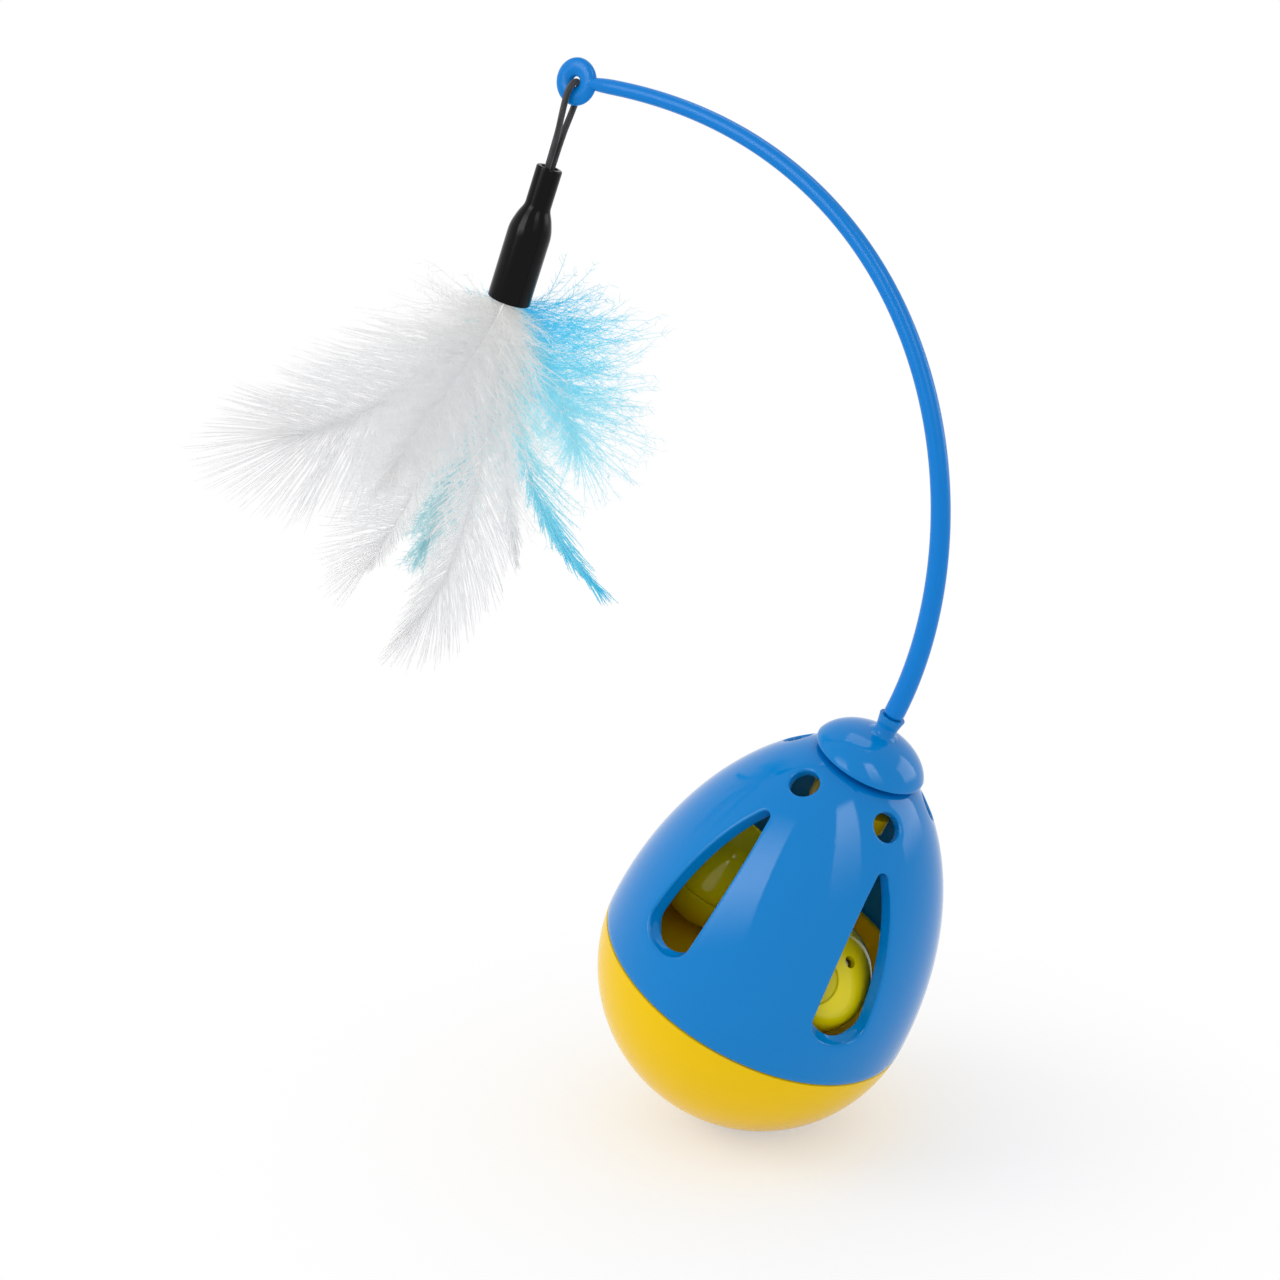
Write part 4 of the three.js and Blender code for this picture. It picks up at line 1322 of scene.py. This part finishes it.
def make_feather(name, feather, layer, material, slot):
    """A tapered shaft, barbs that leave it on both sides and curve to the tip, and fine hairs on them."""
    draw = np.random.default_rng(100 + layer)
    spine, lines, marks = grow_barbs(feather, layer, draw)
    taper = np.linspace(1, barb_tip_share, barb_joints)[None] * barb_width
    widths = np.repeat(taper, len(lines), axis=0) * (1.25 - 0.55 * marks[:, 1:2])
    sides = np.broadcast_to(np.cross(unit(np.gradient(lines, axis=1)), facing), lines.shape)
    points, faces, size = fibres(lines, sides, widths)
    hair, hair_sides, hair_marks = grow_hairs(feather.hairs, lines, marks, draw)
    hair_widths = np.repeat(np.array([[1.0, 0.7, 0.3]]) * hair_width, len(hair), axis=0)
    hair_points, hair_faces, hair_size = fibres(hair, hair_sides, hair_widths)
    thinning = np.linspace(1, 0, shaft_cuts + 1) ** 1.6
    behind = spine[:: spine_cuts // shaft_cuts] - facing * quill_setback * (1 - thinning)[:, None]
    shaft = rod_along("shaft", behind, quill_tip_radius + quill_radius * thinning, shaft_sides)
    shaft_points = np.array([vertex.co[:] for vertex in shaft.data.vertices])
    offset = len(points) + len(hair_points)
    shaft_faces = [tuple(at + offset for at in face.vertices) for face in shaft.data.polygons]
    bpy.data.objects.remove(shaft)
    along = np.repeat(np.linspace(0, 1, shaft_cuts + 1), shaft_sides)
    shaft_marks = np.stack([along, along * 0], axis=-1)
    all_points = np.concatenate([points, hair_points, shaft_points])
    fibre_faces = np.concatenate([faces, hair_faces + len(points)])
    all_faces = [tuple(face) for face in fibre_faces] + shaft_faces
    all_marks = [np.repeat(marks, size, axis=0), np.repeat(hair_marks, hair_size, axis=0), shaft_marks]
    uv = np.concatenate(all_marks)[:, ::-1]
    piece = place_mesh("feather_" + name + "_down", all_points, all_faces, uv)
    finish_piece(piece, fan_place, material, "pendant", "feather_" + name, 180)


turquoise_finish = {"turquoise_1": down_pale, "turquoise_2": down_blade, "turquoise_3": down_cyan}
for layer, (name, feather) in enumerate(feathers.items()):
    material = turquoise_finish.get(name, down_white)
    make_feather(name, feather, layer, material, name.split("_")[0] + "_feather")


# Stage: a white floor and backdrop, and soft lamps
def make_stage():
    bpy.ops.mesh.primitive_plane_add(size=6, location=(0, 0, 0))
    floor = bpy.context.object
    floor.name = "floor"
    paper = Finish("floor_paper", roughness=0.9, specular_ior_level=0.1)
    paper.drive("Base Color", paper.mix(paper.noise(3.0) * 0.3, rgb(250, 250, 250), rgb(252, 252, 252)))
    away = paper.node("ShaderNodeVectorMath", {"operation": "LENGTH"}, output=1, i0=paper.place())
    reach = {"From Min": 0.02, "From Max": 0.16, "To Min": floor_glow, "To Max": 1.0}
    glow = paper.node("ShaderNodeMapRange", {"interpolation_type": "SMOOTHSTEP"}, Value=away, **reach)
    glow = glow * paper.seen_directly()
    white = paper.node("ShaderNodeEmission", Color=rgb(255, 255, 255), Strength=1.0)
    lit = Value(paper, paper.shader.outputs["BSDF"])
    mixed = paper.node("ShaderNodeMixShader", i0=glow, i1=lit, i2=white)
    paper.feed(paper.tree.nodes["Material Output"].inputs["Surface"], mixed)
    floor.data.materials.append(paper.material)
    world = bpy.data.worlds.new("studio")
    bpy.context.scene.world = world
    world.use_nodes = True
    tree = world.node_tree
    background = tree.nodes["Background"]
    background.inputs["Color"].default_value = (1, 1, 1, 1)
    sky = Nodes(tree)
    reach = {"To Min": room_level, "To Max": 1.0}
    level = sky.node("ShaderNodeMapRange", Value=sky.seen_directly(), **reach)
    sky.feed(background.inputs["Strength"], level)


def softbox(name, azimuth, distance, width, low, high, radiance, soft):
    """An upright lit panel at an angle round the toy, which faces it."""
    azimuth = math.radians(azimuth)
    way = Vector((math.sin(azimuth), -math.cos(azimuth), 0))
    middle = way * distance + Vector((0, 0, (low + high) / 2))
    return panel(name, middle, way, width, high - low, radiance, soft)


def panel(name, middle, way, width, height, radiance, soft):
    """A lit panel that fades towards its lower and upper ends, over these shares of its height. The
    windows show in the gloss alone, and the key lamp lights without showing in it."""
    bpy.ops.object.light_add(type="AREA", location=middle)
    lamp = bpy.context.object
    lamp.name = name
    lamp.data.shape = "RECTANGLE"
    lamp.data.size, lamp.data.size_y = width, height
    lamp.data.energy = radiance * math.pi * width * height
    lamp.rotation_euler = way.to_track_quat("Z", "Y").to_euler()
    lamp.visible_camera = False
    lamp.visible_diffuse = not name.startswith("window")
    lamp.visible_glossy = name.startswith("window")
    lamp.data.use_nodes = True
    light = Nodes(lamp.data.node_tree)
    up = light.split(light.node("ShaderNodeNewGeometry", output="Parametric"))[1]
    ease = {"interpolation_type": "SMOOTHSTEP"}
    rising = light.node("ShaderNodeMapRange", ease, Value=up, **{"From Min": 0, "From Max": soft[0]})
    falling = light.node("ShaderNodeMapRange", ease, Value=1 - up, **{"From Min": 0, "From Max": soft[1]})
    light.feed(light.tree.nodes["Emission"].inputs["Strength"], rising * falling)


make_stage()
softbox("window_left", -18, 1.2, 0.76, 0.02, 1.8, 6.0, (0.35, 0.7))
softbox("window_middle", 58, 1.2, 0.5, 0.02, 1.9, 6.0, (0.7, 0.2))
softbox("window_right", 131, 1.2, 0.75, 0.02, 0.9, 2.6, (0.3, 0.2))
panel("window_top", Vector((0.1, 0.35, 1.2)), Vector((0, 0, 1)), 0.7, 0.6, 2.0, (0.2, 0.2))
softbox("key", -55, 1.2, 0.9, 0.5, 1.6, 2.4, (0.2, 0.2))
